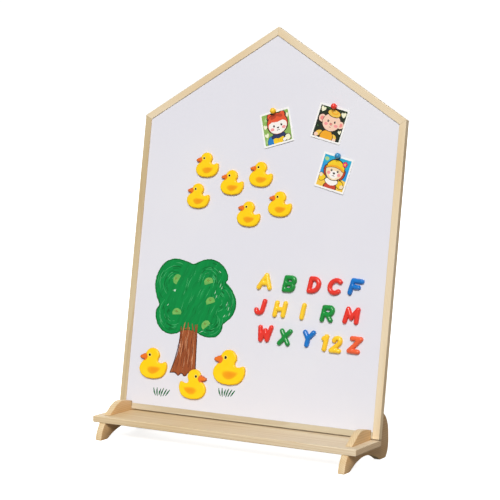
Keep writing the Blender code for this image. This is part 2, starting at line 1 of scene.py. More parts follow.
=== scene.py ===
"""Looks of a kids easel: a magnetic board shaped like a house, in slotted pine feet with a slide-in tray.

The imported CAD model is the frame. Timber, enamel and discs keep their CAD shapes and get worked-out
finishes. Ducks, letters, pins and picture cards get finer pieces that stand for their CAD nodes, and the
drawn tree and grass are thin ink on the writing sheet.
"""

import json
import logging
import math
import random
from collections.abc import Iterable, Sequence
from dataclasses import dataclass
from enum import Enum

import bmesh
import bpy
import numpy as np
from mathutils import Matrix, Vector, noise


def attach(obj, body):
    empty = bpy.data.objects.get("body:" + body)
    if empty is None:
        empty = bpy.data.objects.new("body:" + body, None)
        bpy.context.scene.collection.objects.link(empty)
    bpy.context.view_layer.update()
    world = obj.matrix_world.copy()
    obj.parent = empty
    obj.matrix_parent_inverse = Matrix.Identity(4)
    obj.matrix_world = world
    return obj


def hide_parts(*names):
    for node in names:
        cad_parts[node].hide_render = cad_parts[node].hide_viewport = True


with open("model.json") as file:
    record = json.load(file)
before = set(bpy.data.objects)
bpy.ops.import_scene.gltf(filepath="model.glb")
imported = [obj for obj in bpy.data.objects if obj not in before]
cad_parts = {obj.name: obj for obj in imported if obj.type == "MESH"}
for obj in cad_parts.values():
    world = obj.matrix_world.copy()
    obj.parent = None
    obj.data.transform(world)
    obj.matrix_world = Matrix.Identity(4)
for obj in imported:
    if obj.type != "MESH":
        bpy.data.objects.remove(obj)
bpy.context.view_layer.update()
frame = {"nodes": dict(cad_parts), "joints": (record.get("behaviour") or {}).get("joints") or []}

log = logging.getLogger("kids_easel")

MM = 0.001
MICRON = 0.000001
CUT_SNAP = 0.01 * MICRON
Knot = tuple
Colour = tuple[float, float, float, float]


def tint(code: str) -> Colour:
    """Turn a hex colour into linear light.

    Args:
        code: Six hex digits after a hash sign.

    Returns:
        Red, green, blue and an alpha of one.
    """
    parts = [int(code[i : i + 2], 16) / 255 for i in (1, 3, 5)]
    return (*(p / 12.92 if p <= 0.04045 else ((p + 0.055) / 1.055) ** 2.4 for p in parts), 1.0)


# Shader expressions


class Term:
    """A number that varies over a surface; arithmetic on it adds Math nodes."""

    def __init__(self, shader: "Shader", socket: bpy.types.NodeSocket) -> None:
        """Keep the shader and the output socket that carries the number."""
        self.shader = shader
        self.socket = socket

    def math(self, operation: str, *others: "Term | float") -> "Term":
        """Add a Math node fed by this term and the others."""
        values = dict(enumerate((self, *others)))
        return self.shader.node("ShaderNodeMath", {"operation": operation}, values)

    def swapped(self, operation: str, other: float) -> "Term":
        """Add a Math node with this term second."""
        return self.shader.node("ShaderNodeMath", {"operation": operation}, {0: other, 1: self})

    def __add__(self, other: "Term | float") -> "Term":
        """Return the sum."""
        return self.math("ADD", other)

    __radd__ = __add__

    def __sub__(self, other: "Term | float") -> "Term":
        """Return the difference."""
        return self.math("SUBTRACT", other)

    def __rsub__(self, other: float) -> "Term":
        """Return the other number less this term."""
        return self.swapped("SUBTRACT", other)

    def __mul__(self, other: "Term | float") -> "Term":
        """Return the product."""
        return self.math("MULTIPLY", other)

    __rmul__ = __mul__

    def __truediv__(self, other: "Term | float") -> "Term":
        """Return the quotient."""
        return self.math("DIVIDE", other)

    def __pow__(self, other: float) -> "Term":
        """Return this term to a power."""
        return self.math("POWER", other)

    def step(self, low: float, high: float) -> "Term":
        """Rise smoothly from 0 at low to 1 at high."""
        values = {0: self, 1: low, 2: high, 3: 0.0, 4: 1.0}
        return self.shader.node("ShaderNodeMapRange", {"interpolation_type": "SMOOTHSTEP"}, values)


class Shader:
    """A material under construction, with one Principled shader."""

    def __init__(self, name: str) -> None:
        """Start a material with an empty Principled shader."""
        self.material = bpy.data.materials.new(name)
        self.material.use_nodes = True
        self.tree = self.material.node_tree
        self.surface = self.tree.nodes["Principled BSDF"]

    def node(
        self, kind: str, settings: dict | None = None, values: dict | None = None, output: int = 0
    ) -> Term:
        """Add any node.

        Args:
            kind: The node's type.
            settings: Settings of the node, set before its sockets.
            values: Numbers, colours, vectors or terms, by socket name or number.
            output: Which output to return.

        Returns:
            The wanted output, as a term.
        """
        made = self.tree.nodes.new(kind)
        for key, value in (settings or {}).items():
            setattr(made, key, value)
        for key, value in (values or {}).items():
            self.feed(made.inputs[key], value)
        return Term(self, made.outputs[output])

    def feed(self, socket: bpy.types.NodeSocket, value: "Term | float | Sequence[float]") -> None:
        """Link a term into a socket, or set its number."""
        if isinstance(value, Term):
            self.tree.links.new(value.socket, socket)
        else:
            socket.default_value = value

    def spot(self) -> Term:
        """Return the Object coordinates."""
        return self.node("ShaderNodeTexCoord", output=3)

    def along(self, spot: Term, axis: Sequence[float]) -> Term:
        """Return how far a spot lies along an axis."""
        return self.node("ShaderNodeVectorMath", {"operation": "DOT_PRODUCT"}, {0: spot, 1: tuple(axis)}, 1)

    def vector(self, x: "Term | float", y: "Term | float", z: "Term | float") -> Term:
        """Return a vector made of three numbers."""
        return self.node("ShaderNodeCombineXYZ", None, {0: x, 1: y, 2: z})

    def noise(
        self, spot: Term, scale: float, detail: float = 2.0, rough: float = 0.5, warp: float = 0.0
    ) -> Term:
        """Return smooth noise from 0 to 1."""
        values = {"Vector": spot, "Scale": scale, "Detail": detail, "Roughness": rough, "Distortion": warp}
        return self.node("ShaderNodeTexNoise", None, values)

    def mixed(self, factor: "Term | float", first: "Term | Colour", second: "Term | Colour") -> Term:
        """Return a blend of two colours."""
        return self.node("ShaderNodeMix", {"data_type": "RGBA"}, {0: factor, 6: first, 7: second}, 2)

    def bump(self, height: Term, strength: float, distance: float) -> Term:
        """Return a normal raised by a height."""
        values = {"Height": height, "Strength": strength, "Distance": distance}
        return self.node("ShaderNodeBump", None, values)

    def finish(self, **sockets: "Term | float | Colour") -> bpy.types.Material:
        """Fill the Principled shader's sockets, named with underscores for spaces."""
        for key, value in sockets.items():
            self.feed(self.surface.inputs[key.replace("_", " ")], value)
        return self.material


# Finishes


@dataclass(frozen=True)
class Timber:
    """A pale softwood, sanded after sawing, with rings about a pith line along the bar; painted shade on
    side faces, painted light toward one end.
    """

    name: str
    grain: tuple[float, float, float]
    width: tuple[float, float, float]
    depth: tuple[float, float, float]
    pith: tuple[float, float] = (0.05, 0.04)
    ring: float = 0.0031
    pale: str = "#EBDBBD"
    warm: str = "#E4CDA6"
    late: str = "#CDAC7C"
    # Painted shade on side faces: the axis they face along, their deeper tone and its share.
    flank: tuple[float, float, float] | None = None
    flank_tone: str = "#DCAC72"
    flank_share: float = 0.62
    # Painted light: share of a paler tone toward the far end of the grain.
    painted_end_light: float = 0.0

    def material(self) -> bpy.types.Material:
        """Return the bar's material."""
        s = Shader(self.name)
        spot = s.spot()
        run = s.along(spot, self.grain)
        across = s.along(spot, self.width)
        deep = s.along(spot, self.depth)
        long = s.vector(run * 0.9, across * 9.0, deep * 9.0)
        sway = (s.noise(long, 1.0, 2.0) - 0.5) * 0.022
        ripple = (s.noise(long, 5.0, 2.0) - 0.5) * 0.0026
        pith = s.vector(across + (-self.pith[0]), deep + (-self.pith[1]), 0.0)
        radius = s.node("ShaderNodeVectorMath", {"operation": "LENGTH"}, {0: pith}, 1)
        turn = ((radius + sway + ripple) / self.ring).math("FRACT")
        latewood = turn**3.0 * (1.0 - turn.step(0.93, 1.0))
        fibre = s.noise(s.vector(run * 14.0, across * 1100.0, deep * 1100.0), 1.0, 3.0, 0.6)
        pores = s.noise(s.vector(run * 60.0, across * 2600.0, deep * 2600.0), 1.0, 1.0)
        tone = s.noise(s.vector(run * 3.0, across * 30.0, deep * 30.0), 1.0, 2.0)
        ground = s.mixed(tone.step(0.3, 0.75), tint(self.pale), tint(self.warm))
        # Painted light: the tone pales toward the far end along the grain.
        if self.painted_end_light:
            ground = s.mixed(run.step(-0.3, 0.32) * self.painted_end_light, ground, tint("#EFE2CB"))
        ringed = s.mixed(latewood * 0.5, ground, tint(self.late))
        flecked = s.mixed(fibre.step(0.55, 0.85) * 0.22, ringed, tint(self.late))
        colour = s.mixed(pores.step(0.66, 0.8) * 0.16, flecked, tint("#A9804C"))
        # Painted shade: faces turned along the axis take a deeper, warmer tone with grain in it.
        if self.flank:
            facing = s.along(s.node("ShaderNodeNewGeometry", output=1), self.flank).math("ABSOLUTE")
            painted_side_shade = s.mixed(latewood * 0.5 + fibre * 0.3, tint(self.flank_tone), tint("#A87A44"))
            colour = s.mixed(facing.step(0.75, 0.97) * self.flank_share, colour, painted_side_shade)
        relief = latewood * 0.35 + fibre * 0.5 + pores * 0.15
        return s.finish(
            Base_Color=colour,
            Roughness=0.44 + fibre * 0.16 - latewood * 0.05,
            Normal=s.bump(relief, 0.35, 0.00018),
            Coat_Weight=0.12,
            Coat_Roughness=0.4,
            Specular_IOR_Level=0.42,
        )


@dataclass(frozen=True)
class Enamel:
    """White dry-wipe enamel on steel: a trace of orange peel, faint wipe marks and marker ghosts."""

    name: str = "white_enamel"
    colour: str = "#E3E3EC"

    def material(self) -> bpy.types.Material:
        """Return the sheet's material."""
        s = Shader(self.name)
        spot = s.spot()
        x = s.along(spot, (1, 0, 0))
        z = s.along(spot, (0, 0, 1))
        cloud = s.noise(spot, 3.5, 3.0)
        swipe = s.noise(s.vector((x + z) * 4.0, (x - z) * 55.0, 0.0), 1.0, 4.0, 0.55)
        ghost = s.noise(s.vector(x * 22.0, z * 60.0, 0.0), 1.0, 5.0, 0.65, 1.2)
        peel = s.noise(spot, 620.0, 2.0)
        shade = s.mixed(cloud.step(0.35, 0.7), tint(self.colour), tint("#E6E6ED"))
        wiped = s.mixed(swipe.step(0.6, 0.8) * 0.06, shade, tint("#D9D8E0"))
        colour = s.mixed(ghost.step(0.68, 0.86) * 0.05, wiped, tint("#C9C9D8"))
        return s.finish(
            Base_Color=colour,
            Roughness=0.36 + swipe * 0.1 + cloud * 0.04,
            Normal=s.bump(peel, 0.05, 0.0001),
            Coat_Weight=0.25,
            Coat_Roughness=0.2,
            Specular_IOR_Level=0.4,
        )


@dataclass(frozen=True)
class Fibreboard:
    """Pressed wood fibre, with the screen's weave pressed into the back face if a pitch is given."""

    name: str
    ground: str
    speck: str
    up: tuple[float, float, float]
    pitch: float = 0.0

    def material(self) -> bpy.types.Material:
        """Return the panel's material."""
        s = Shader(self.name)
        spot = s.spot()
        hair = s.noise(spot, 900.0, 4.0, 0.7, 0.6)
        patch = s.noise(spot, 14.0, 3.0)
        colour = s.mixed(hair.step(0.42, 0.72), tint(self.ground), tint(self.speck))
        colour = s.mixed(patch.step(0.4, 0.8) * 0.25, colour, tint(self.speck))
        relief = hair * 0.5
        if self.pitch:
            across = (s.along(spot, (1, 0, 0)) * (math.tau / self.pitch)).math("SINE")
            upward = (s.along(spot, self.up) * (math.tau / self.pitch)).math("SINE")
            relief = relief + across * upward * 0.6
        normal = s.bump(relief, 0.5, 0.25 * MM)
        return s.finish(Base_Color=colour, Roughness=0.72 + hair * 0.15, Normal=normal)


@dataclass(frozen=True)
class Plastic:
    """Moulded toy plastic: even colour with a faint flow, fine handling scratches and a soft gloss."""

    name: str
    colour: str
    deep: str
    gloss: float = 0.3
    coat: float = 0.35
    shine: float = 0.5

    def material(self) -> bpy.types.Material:
        """Return the plastic's material."""
        s = Shader(self.name)
        spot = s.spot()
        flow = s.noise(spot, 45.0, 3.0, 0.5, 0.8)
        grain = s.noise(spot, 1600.0, 2.0)
        rising, falling = s.along(spot, (1, 0, 1)), s.along(spot, (1, 0, -1))
        rub = s.noise(s.vector(rising * 90.0, falling * 1500.0, 0.0), 1.0, 2.0)
        colour = s.mixed(flow.step(0.25, 0.8) * 0.55, tint(self.colour), tint(self.deep))
        return s.finish(
            Base_Color=colour,
            Roughness=self.gloss + flow * 0.08 + rub.step(0.62, 0.8) * 0.12,
            Normal=s.bump(grain * 0.6 + rub * 0.4, 0.08, 0.00008),
            Coat_Weight=self.coat,
            Coat_Roughness=0.18,
            Specular_IOR_Level=self.shine,
        )


@dataclass(frozen=True)
class DuckCoat:
    """Yellow moulded duck with a printed orange wing and beak that follow the relief of the mould; painted
    shade deepens its rim and the beak's outer edge.
    """

    name: str = "duck_coat"
    body: str = "#FED30E"
    # Painted shade: the rim colour deepens the yellow over the rounded edge.
    rim: str = "#F9BE10"
    wing: str = "#F7A80F"
    beak: str = "#EE7622"
    # Painted shade: the root colour darkens the beak toward the duck's outline, its outer edge.
    root: str = "#C8602E"

    def material(self) -> bpy.types.Material:
        """Return the duck's material, which reads the wing, beak and rim attributes in millimetres."""
        s = Shader(self.name)
        spot = s.spot()
        reach = {
            key: s.node("ShaderNodeAttribute", {"attribute_name": key}, None, 2)
            for key in ("wing", "beak", "rim", "eye")
        }
        mottle = s.noise(spot, 60.0, 3.0)
        grain = s.noise(spot, 1500.0, 2.0)
        ragged = (s.noise(spot, 420.0, 2.0) - 0.5) * 0.5
        # Painted shade: the yellow deepens toward the rounded rim.
        ground = s.mixed(reach["rim"].step(0.0, 3.2), tint(self.rim), tint(self.body))
        ground = s.mixed(mottle.step(0.35, 0.75) * 0.25, ground, tint("#FFDE2E"))
        winged = s.mixed((reach["wing"] + ragged).step(-1.6, 2.0), ground, tint(self.wing))
        heart = s.mixed((reach["wing"] + ragged).step(1.2, 5.0) * 0.6, winged, tint("#F29312"))
        ringed = s.mixed(reach["eye"].step(-0.9, -0.1) * 0.55, heart, tint("#FFF2A8"))
        # Painted shade: the beak darkens toward the duck's outline.
        bill = s.mixed(reach["rim"].step(0.4, 3.0), tint(self.root), tint(self.beak))
        colour = s.mixed((reach["beak"] + ragged * 0.3).step(-0.35, 0.35), ringed, bill)
        return s.finish(
            Base_Color=colour,
            Roughness=0.36 + mottle * 0.1,
            Normal=s.bump(grain, 0.06, 0.00008),
            Coat_Weight=0.12,
            Coat_Roughness=0.25,
            Specular_IOR_Level=0.3,
        )


@dataclass(frozen=True)
class Crayon:
    """Waxy crayon or marker on enamel: streaks along one direction, thin places, a grainy edge."""

    name: str
    ground: str
    dark: str
    light: str
    stroke: tuple[float, float, float]
    cross: tuple[float, float, float]
    bare: float = 0.0

    def material(self) -> bpy.types.Material:
        """Return the drawing's material."""
        s = Shader(self.name)
        spot = s.spot()
        bend = (s.noise(spot, 16.0, 2.0) - 0.5) * 0.03
        run = s.along(spot, self.stroke) + bend
        side = s.along(spot, self.cross) + bend
        streak = s.noise(s.vector(run * 30.0, side * 420.0, 0.0), 1.0, 3.0, 0.6)
        broad = s.noise(s.vector(run * 14.0, side * 110.0, 4.0), 1.0, 2.0)
        wax = s.noise(spot, 1300.0, 2.0, 0.7)
        colour = s.mixed(broad.step(0.35, 0.7) * 0.5, tint(self.ground), tint(self.dark))
        colour = s.mixed(streak.step(0.55, 0.78) * 0.6, colour, tint(self.light))
        if self.bare:
            gaps = (streak * 0.6 + wax * 0.4).step(0.64, 0.72) * self.bare
            colour = s.mixed(gaps, colour, tint("#DDE6DF"))
        return s.finish(
            Base_Color=colour,
            Roughness=0.5 + wax * 0.2,
            Normal=s.bump(streak * 0.6 + wax * 0.4, 0.25, 0.0001),
            Specular_IOR_Level=0.18,
        )


@dataclass(frozen=True)
class Print:
    """Ink or bare stock on a coated picture card, with paper tooth and a faint drift in tone."""

    name: str
    colour: str
    spread: float = 0.08

    def material(self) -> bpy.types.Material:
        """Return the print's material."""
        s = Shader(self.name)
        spot = s.spot()
        tooth = s.noise(spot, 2200.0, 3.0, 0.6)
        drift = s.noise(spot, 90.0, 2.0)
        shade = tint(self.colour)[:3]
        lighter = tuple(min(1.0, c * (1 + 2.2 * self.spread) + 0.02 * self.spread) for c in shade)
        darker = tuple(c * (1 - 1.6 * self.spread) for c in shade)
        colour = s.mixed(tooth * 0.5 + drift * 0.5, (*darker, 1.0), (*lighter, 1.0))
        return s.finish(
            Base_Color=colour,
            Roughness=0.38 + tooth * 0.16,
            Normal=s.bump(tooth, 0.12, 0.00004),
            Coat_Weight=0.15,
            Coat_Roughness=0.3,
        )


@dataclass(frozen=True)
class Ferrite:
    """Pressed and ground ceramic magnet."""

    name: str = "ferrite_disc"

    def material(self) -> bpy.types.Material:
        """Return the magnet's material."""
        s = Shader(self.name)
        spot = s.spot()
        grit = s.noise(spot, 1900.0, 3.0, 0.7)
        stain = s.noise(spot, 240.0, 2.0)
        colour = s.mixed(grit, tint("#2E2E31"), tint("#55555A"))
        colour = s.mixed(stain.step(0.5, 0.8) * 0.3, colour, tint("#3A322C"))
        return s.finish(
            Base_Color=colour, Roughness=0.5 + grit * 0.25, Metallic=0.35, Normal=s.bump(grit, 0.3, 0.0001)
        )


class Ink(Enum):
    """The inks of the picture cards."""

    STOCK = "#FBFAF6"
    MOSS = "#8DB35A"
    FERN = "#A9CF86"
    CREAM = "#F6F3CF"
    PEEL = "#E2552D"
    RUST = "#B93E1E"
    SNOW = "#FFF6EC"
    BLUSH = "#F59A9A"
    OUTLINE = "#2E140E"
    NAVY = "#27335E"
    SUN = "#FBCB1F"
    AMBER = "#F2A71E"
    WATER = "#1F7CC4"
    FOREST = "#14240F"
    LEAF = "#4C7A3E"
    SKIN = "#FACDB6"
    PINK = "#F08C86"
    STRAW = "#F0C24A"
    SKY = "#2296D8"
    TEAL = "#20A8CE"
    SAND = "#F7C648"
    OATMEAL = "#F3D9B4"
    ROSE = "#E9436F"
    BRICK = "#C6432A"


class Plastics(Enum):
    """The colours of the letter, number and pin magnets: a lit colour and a deeper one."""

    YELLOW = ("#FFD42E", "#FBBF16")
    GREEN = ("#0C933A", "#097D2F")
    RED = ("#F03A2C", "#D92A20")
    BLUE = ("#0A7AD2", "#0864B4")
    ORANGE = ("#F4663A", "#E2522A")
    SKY = ("#3492C4", "#2480B4")


_made: dict[str, bpy.types.Material] = {}


def printed(ink: Ink) -> bpy.types.Material:
    """Return the material of a card ink, made once."""
    key = "card_" + ink.name.lower()
    if key not in _made:
        _made[key] = Print(key, ink.value).material()
    return _made[key]


def moulded(colour: Plastics) -> bpy.types.Material:
    """Return the material of a magnet's plastic, made once."""
    key = "plastic_" + colour.name.lower()
    if key not in _made:
        _made[key] = Plastic(key, *colour.value).material()
    return _made[key]


# Shapes


def evaluated(data: bpy.types.ID) -> bpy.types.Mesh:
    """Turn curve or mesh data, with the modifiers of a passing object, into a plain mesh."""
    item = bpy.data.objects.new("passing", data)
    bpy.context.scene.collection.objects.link(item)
    return settled(item)


def settled(item: bpy.types.Object) -> bpy.types.Mesh:
    """Apply an object's modifiers and return its mesh; the object is removed."""
    bpy.context.view_layer.update()
    shape = item.evaluated_get(bpy.context.evaluated_depsgraph_get())
    mesh = bpy.data.meshes.new_from_object(shape)
    bpy.data.objects.remove(item, do_unlink=True)
    return mesh


def opened(mesh: bpy.types.Mesh) -> bmesh.types.BMesh:
    """Return a mesh's bmesh, ready to edit."""
    form = bmesh.new()
    form.from_mesh(mesh)
    return form


def written(form: bmesh.types.BMesh, mesh: bpy.types.Mesh) -> bpy.types.Mesh:
    """Write a bmesh into a mesh and free it."""
    form.to_mesh(mesh)
    form.free()
    return mesh


def cleaned(mesh: bpy.types.Mesh, merge: float = 0.1 * MICRON) -> bpy.types.Mesh:
    """Merge a mesh's doubled vertices and turn its faces outwards."""
    form = opened(mesh)
    bmesh.ops.remove_doubles(form, verts=form.verts, dist=merge)
    bmesh.ops.recalc_face_normals(form, faces=form.faces)
    return written(form, mesh)


def patch(knots: Sequence[Knot], low: float, high: float, steps: int = 6) -> bpy.types.Mesh:
    """Make a flat closed plate from an outline, in millimetres.

    Args:
        knots: Corners (x, y), or (x, y, 1) where the outline runs round smoothly.
        low: Height of the underside.
        high: Height of the top.
        steps: Segments between knots.

    Returns:
        The plate's mesh, in metres.
    """
    curve = bpy.data.curves.new("patch", "CURVE")
    curve.dimensions = "2D"
    curve.fill_mode = "BOTH"
    curve.extrude = (high - low) / 2 * MM
    curve.resolution_u = steps
    spline = curve.splines.new("BEZIER")
    spline.bezier_points.add(len(knots) - 1)
    for point, knot in zip(spline.bezier_points, knots):
        point.co = (knot[0] * MM, knot[1] * MM, 0)
        handle = "AUTO" if len(knot) == 3 else "VECTOR"
        point.handle_left_type = handle
        point.handle_right_type = handle
    spline.use_cyclic_u = True
    mesh = evaluated(curve)
    bpy.data.curves.remove(curve)
    mesh.transform(Matrix.Translation((0, 0, (high + low) / 2 * MM)))
    return cleaned(mesh)


def strokes(
    lines: Iterable[Sequence[Knot]], width: float, low: float, high: float, closed: bool = False,
    taper: float = 0.35,
) -> bpy.types.Mesh:
    """Make flat pen strokes of one width, in millimetres.

    Args:
        lines: Each stroke's points.
        width: Width at the middle of a stroke.
        low: Height of the underside.
        high: Height of the top.
        closed: Whether each stroke joins up with itself.
        taper: Share of the width left at an open stroke's ends.

    Returns:
        The strokes' mesh, in metres.
    """
    curve = bpy.data.curves.new("strokes", "CURVE")
    curve.dimensions = "3D"
    curve.twist_mode = "Z_UP"
    curve.bevel_depth = width / 2 * MM
    curve.bevel_resolution = 1
    curve.resolution_u = 5
    curve.use_fill_caps = True
    for line in lines:
        spline = curve.splines.new("BEZIER")
        spline.bezier_points.add(len(line) - 1)
        last = len(line) - 1
        for index, (point, knot) in enumerate(zip(spline.bezier_points, line)):
            point.co = (knot[0] * MM, knot[1] * MM, 0)
            point.handle_left_type = "AUTO"
            point.handle_right_type = "AUTO"
            share = math.sin(math.pi * index / last) if last else 1.0
            point.radius = 1.0 if closed else taper + (1 - taper) * min(1.0, 1.5 * share)
        spline.use_cyclic_u = closed
    mesh = evaluated(curve)
    bpy.data.curves.remove(curve)
    squeeze = Matrix.Diagonal((1, 1, (high - low) / width, 1))
    mesh.transform(Matrix.Translation((0, 0, (high + low) / 2 * MM)) @ squeeze)
    return cleaned(mesh)


def turned(knots: Iterable[Knot], x: float, y: float, turn: float, size: float = 1.0) -> list[Knot]:
    """Scale knots, turn them by an angle in degrees and move them to a place."""
    cos, sin = math.cos(math.radians(turn)) * size, math.sin(math.radians(turn)) * size
    return [(x + k[0] * cos - k[1] * sin, y + k[0] * sin + k[1] * cos, *k[2:]) for k in knots]


def oval(x: float, y: float, a: float, b: float, turn: float = 0.0, count: int = 10) -> list[Knot]:
    """Return the smooth knots of an ellipse, its turn in degrees."""
    angles = [math.tau * index / count for index in range(count)]
    return turned(((a * math.cos(angle), b * math.sin(angle), 1) for angle in angles), x, y, turn)


def arc(x: float, y: float, radius: float, start: float, end: float, count: int = 6) -> list[Knot]:
    """Return points along a circular arc, its angles in degrees."""
    angles = [math.radians(start + (end - start) * i / (count - 1)) for i in range(count)]
    return [(x + radius * math.cos(a), y + radius * math.sin(a)) for a in angles]


def waver(mesh: bpy.types.Mesh, amount: float, scale: float, seed: float = 0.0) -> bpy.types.Mesh:
    """Shift a flat mesh's points sideways by smooth noise, as an unsteady hand does."""
    for vertex in mesh.vertices:
        spot = Vector((vertex.co.x, vertex.co.y, seed * MM)) * scale
        shift = noise.noise_vector(spot) * amount * MM
        vertex.co.x += shift.x
        vertex.co.y += shift.y
    return mesh


class Layers:
    """Flat shapes that lie on one plane, gathered into a single mesh."""

    def __init__(self, name: str) -> None:
        """Start with nothing on the plane."""
        self.name = name
        self.form = bmesh.new()
        self.finishes: list[bpy.types.Material] = []

    def add(self, mesh: bpy.types.Mesh, finish: bpy.types.Material) -> None:
        """Add a mesh in one finish; the mesh is used up."""
        first = len(self.form.faces)
        self.form.from_mesh(mesh)
        bpy.data.meshes.remove(mesh)
        if finish not in self.finishes:
            self.finishes.append(finish)
        self.form.faces.ensure_lookup_table()
        for face in self.form.faces[first:]:
            face.material_index = self.finishes.index(finish)

    def cut_rows(self, across: Vector, pitch: float, reach: float) -> None:
        """Cut the shapes into rows a pitch apart along a direction, so that they can bend together."""
        count = int(reach / pitch)
        for row in range(-count, count + 1):
            geometry = [*self.form.verts, *self.form.edges, *self.form.faces]
            spot = across * row * pitch
            bmesh.ops.bisect_plane(self.form, geom=geometry, dist=CUT_SNAP, plane_co=spot, plane_no=across)

    def piece(self, place: Matrix) -> bpy.types.Object:
        """Return the finished piece, its place in its mesh."""
        bmesh.ops.transform(self.form, matrix=place, verts=self.form.verts)
        mesh = written(self.form, bpy.data.meshes.new(self.name))
        for finish in self.finishes:
            mesh.materials.append(finish)
        return shown(self.name, mesh, smooth=False)


def shown(name: str, mesh: bpy.types.Mesh, smooth: bool = True, sharp: float = 40.0) -> bpy.types.Object:
    """Add a mesh to the scene as an object at the origin."""
    mesh.name = name
    if smooth:
        mesh.shade_smooth()
        mesh.set_sharp_from_angle(angle=math.radians(sharp))
    else:
        mesh.shade_flat()
    item = bpy.data.objects.new(name, mesh)
    bpy.context.scene.collection.objects.link(item)
    log.info("%s: %d faces", name, len(mesh.polygons))
    return item


def dress(node: str, finish: bpy.types.Material) -> None:
    """Give a CAD node a finish."""
    item = frame["nodes"][node]
    if not item.data.materials:
        item.data.materials.append(finish)
    for slot in item.material_slots:
        slot.material = finish


# The board's own plane


class BoardPlane:
    """The leaning board's flat frame: x across, y up from its bottom edge, z out of its front."""

    def __init__(self) -> None:
        """Find the lean from the board's lift joint, and the edges from the bottom rail."""
        lift = next(joint for joint in frame["joints"] if joint["name"] == "board_lift")
        self.up = Vector(lift["axis"]).normalized()
        self.right = Vector((1, 0, 0))
        self.out = self.right.cross(self.up)
        turn = Matrix((self.right, self.up, self.out)).transposed().to_4x4()
        self.place = turn
        low, high = self.extent("bottom_rail")
        self.place = turn @ Matrix.Translation((0, low.y, high.z))
        self.sheet = self.extent("writing_sheet")[1].z

    def points(self, node: str) -> np.ndarray:
        """Return a CAD node's points in the board's plane."""
        back = np.array(self.place.inverted())
        mesh = frame["nodes"][node].data
        flat = np.zeros(len(mesh.vertices) * 3)
        mesh.vertices.foreach_get("co", flat)
        return flat.reshape(-1, 3) @ back[:3, :3].T + back[:3, 3]

    def extent(self, node: str) -> tuple[Vector, Vector]:
        """Return a node's lowest and highest corners in the board's plane."""
        spots = self.points(node)
        return Vector(spots.min(0)), Vector(spots.max(0))

    def middle(self, node: str) -> Vector:
        """Return the middle of a node's extent in the board's plane."""
        low, high = self.extent(node)
        return (low + high) / 2

    def seat(self, node: str, turn: float, out: float | None = None) -> Matrix:
        """Return the place of a flat piece whose middle is the node's, turned in degrees.

        Args:
            node: The CAD node to centre on.
            turn: Turn about the board's normal, in degrees.
            out: Height above the front of the frame, or None for the node's own back.
        """
        spot = self.middle(node)
        height = self.extent(node)[0].z if out is None else out
        slide = Matrix.Translation((spot.x, spot.y, height))
        return self.place @ slide @ Matrix.Rotation(math.radians(turn), 4, "Z")


# Magnets with rounded edges


@dataclass
class RoundedMagnet:
    """A flat CAD magnet, given the swollen edges of a moulded one."""

    plane: BoardPlane
    node: str
    finish: bpy.types.Material
    slot: str
    voxel: float = 0.55 * MM
    round_in: float = 4.4 * MM
    round_down: float = 4.2 * MM
    bulge: float = 0.45 * MM
    flat_back: float = 0.4 * MM
    smoothing: int = 3

    def rim(self, mesh: bpy.types.Mesh, top: float) -> np.ndarray:
        """Return the outline's segments, as pairs of points in the plane."""
        form = opened(mesh)
        pairs = []
        for edge in form.edges:
            steep = [abs(face.normal.z) < 0.5 for face in edge.link_faces]
            rim = all(v.co.z > top - 10 * MICRON for v in edge.verts)
            if rim and len(steep) == 2 and steep[0] != steep[1]:
                pairs.append([edge.verts[0].co.xy[:], edge.verts[1].co.xy[:]])
        form.free()
        return np.array(pairs)

    @staticmethod
    def inward(spots: np.ndarray, rim: np.ndarray) -> np.ndarray:
        """Return each spot's distance from the outline."""
        best = np.full(len(spots), 1e9)
        for start, end in rim:
            way = end - start
            share = np.clip(((spots - start) @ way) / (way @ way), 0, 1)
            gap = np.linalg.norm(spots - (start + share[:, None] * way), axis=1)
            best = np.minimum(best, gap)
        return best

    def relief(self, spots: np.ndarray, height: np.ndarray) -> np.ndarray:
        """Return extra height on the front; plain magnets have none."""
        return np.zeros(len(spots))

    def marks(self, mesh: bpy.types.Mesh, spots: np.ndarray, inward: np.ndarray) -> None:
        """Store what the finish reads; plain magnets store nothing."""

    def build(self) -> bpy.types.Object:
        """Return the rounded piece, riding with its CAD body."""
        source = frame["nodes"][self.node].data.copy()
        source.transform(self.plane.place.inverted())
        cleaned(source, MICRON)
        low, high = self.plane.extent(self.node)
        rim = self.rim(source, high.z)
        item = bpy.data.objects.new("swelling", source)
        bpy.context.scene.collection.objects.link(item)
        grid = item.modifiers.new("grid", "REMESH")
        grid.mode = "VOXEL"
        grid.voxel_size = self.voxel
        mesh = settled(item)
        count = len(mesh.vertices)
        flat = np.zeros(count * 3)
        mesh.vertices.foreach_get("co", flat)
        spots = flat.reshape(-1, 3)
        inward = self.inward(spots[:, :2], rim)
        thick = high.z - low.z
        share = np.clip(inward / self.round_in, 0, 1)
        height = thick - self.round_down + self.round_down * np.sqrt(1 - (1 - share) ** 2)
        front = np.clip((spots[:, 2] - low.z) / thick, 0, 1)
        spots[:, 2] = low.z + front * height + front * self.relief(spots, inward)
        normals = np.zeros(count * 3)
        mesh.vertices.foreach_get("normal", normals)
        spots[:, :2] += normals.reshape(-1, 3)[:, :2] * self.bulge
        mesh.vertices.foreach_set("co", spots.ravel())
        form = opened(mesh)
        soft = [v for v in form.verts if v.co.z > low.z + self.flat_back]
        axes = {"use_axis_x": True, "use_axis_y": True, "use_axis_z": True}
        for _ in range(self.smoothing):
            bmesh.ops.smooth_vert(form, verts=soft, factor=0.5, **axes)
        written(form, mesh)
        mesh.vertices.foreach_get("co", flat)
        spots = flat.reshape(-1, 3)
        self.marks(mesh, spots, self.inward(spots[:, :2], rim))
        mesh.transform(self.plane.place)
        mesh.materials.clear()
        mesh.materials.append(self.finish)
        piece = shown(self.node + "_moulded", mesh, sharp=60.0)
        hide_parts(self.node)
        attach(piece, self.node)
        return piece


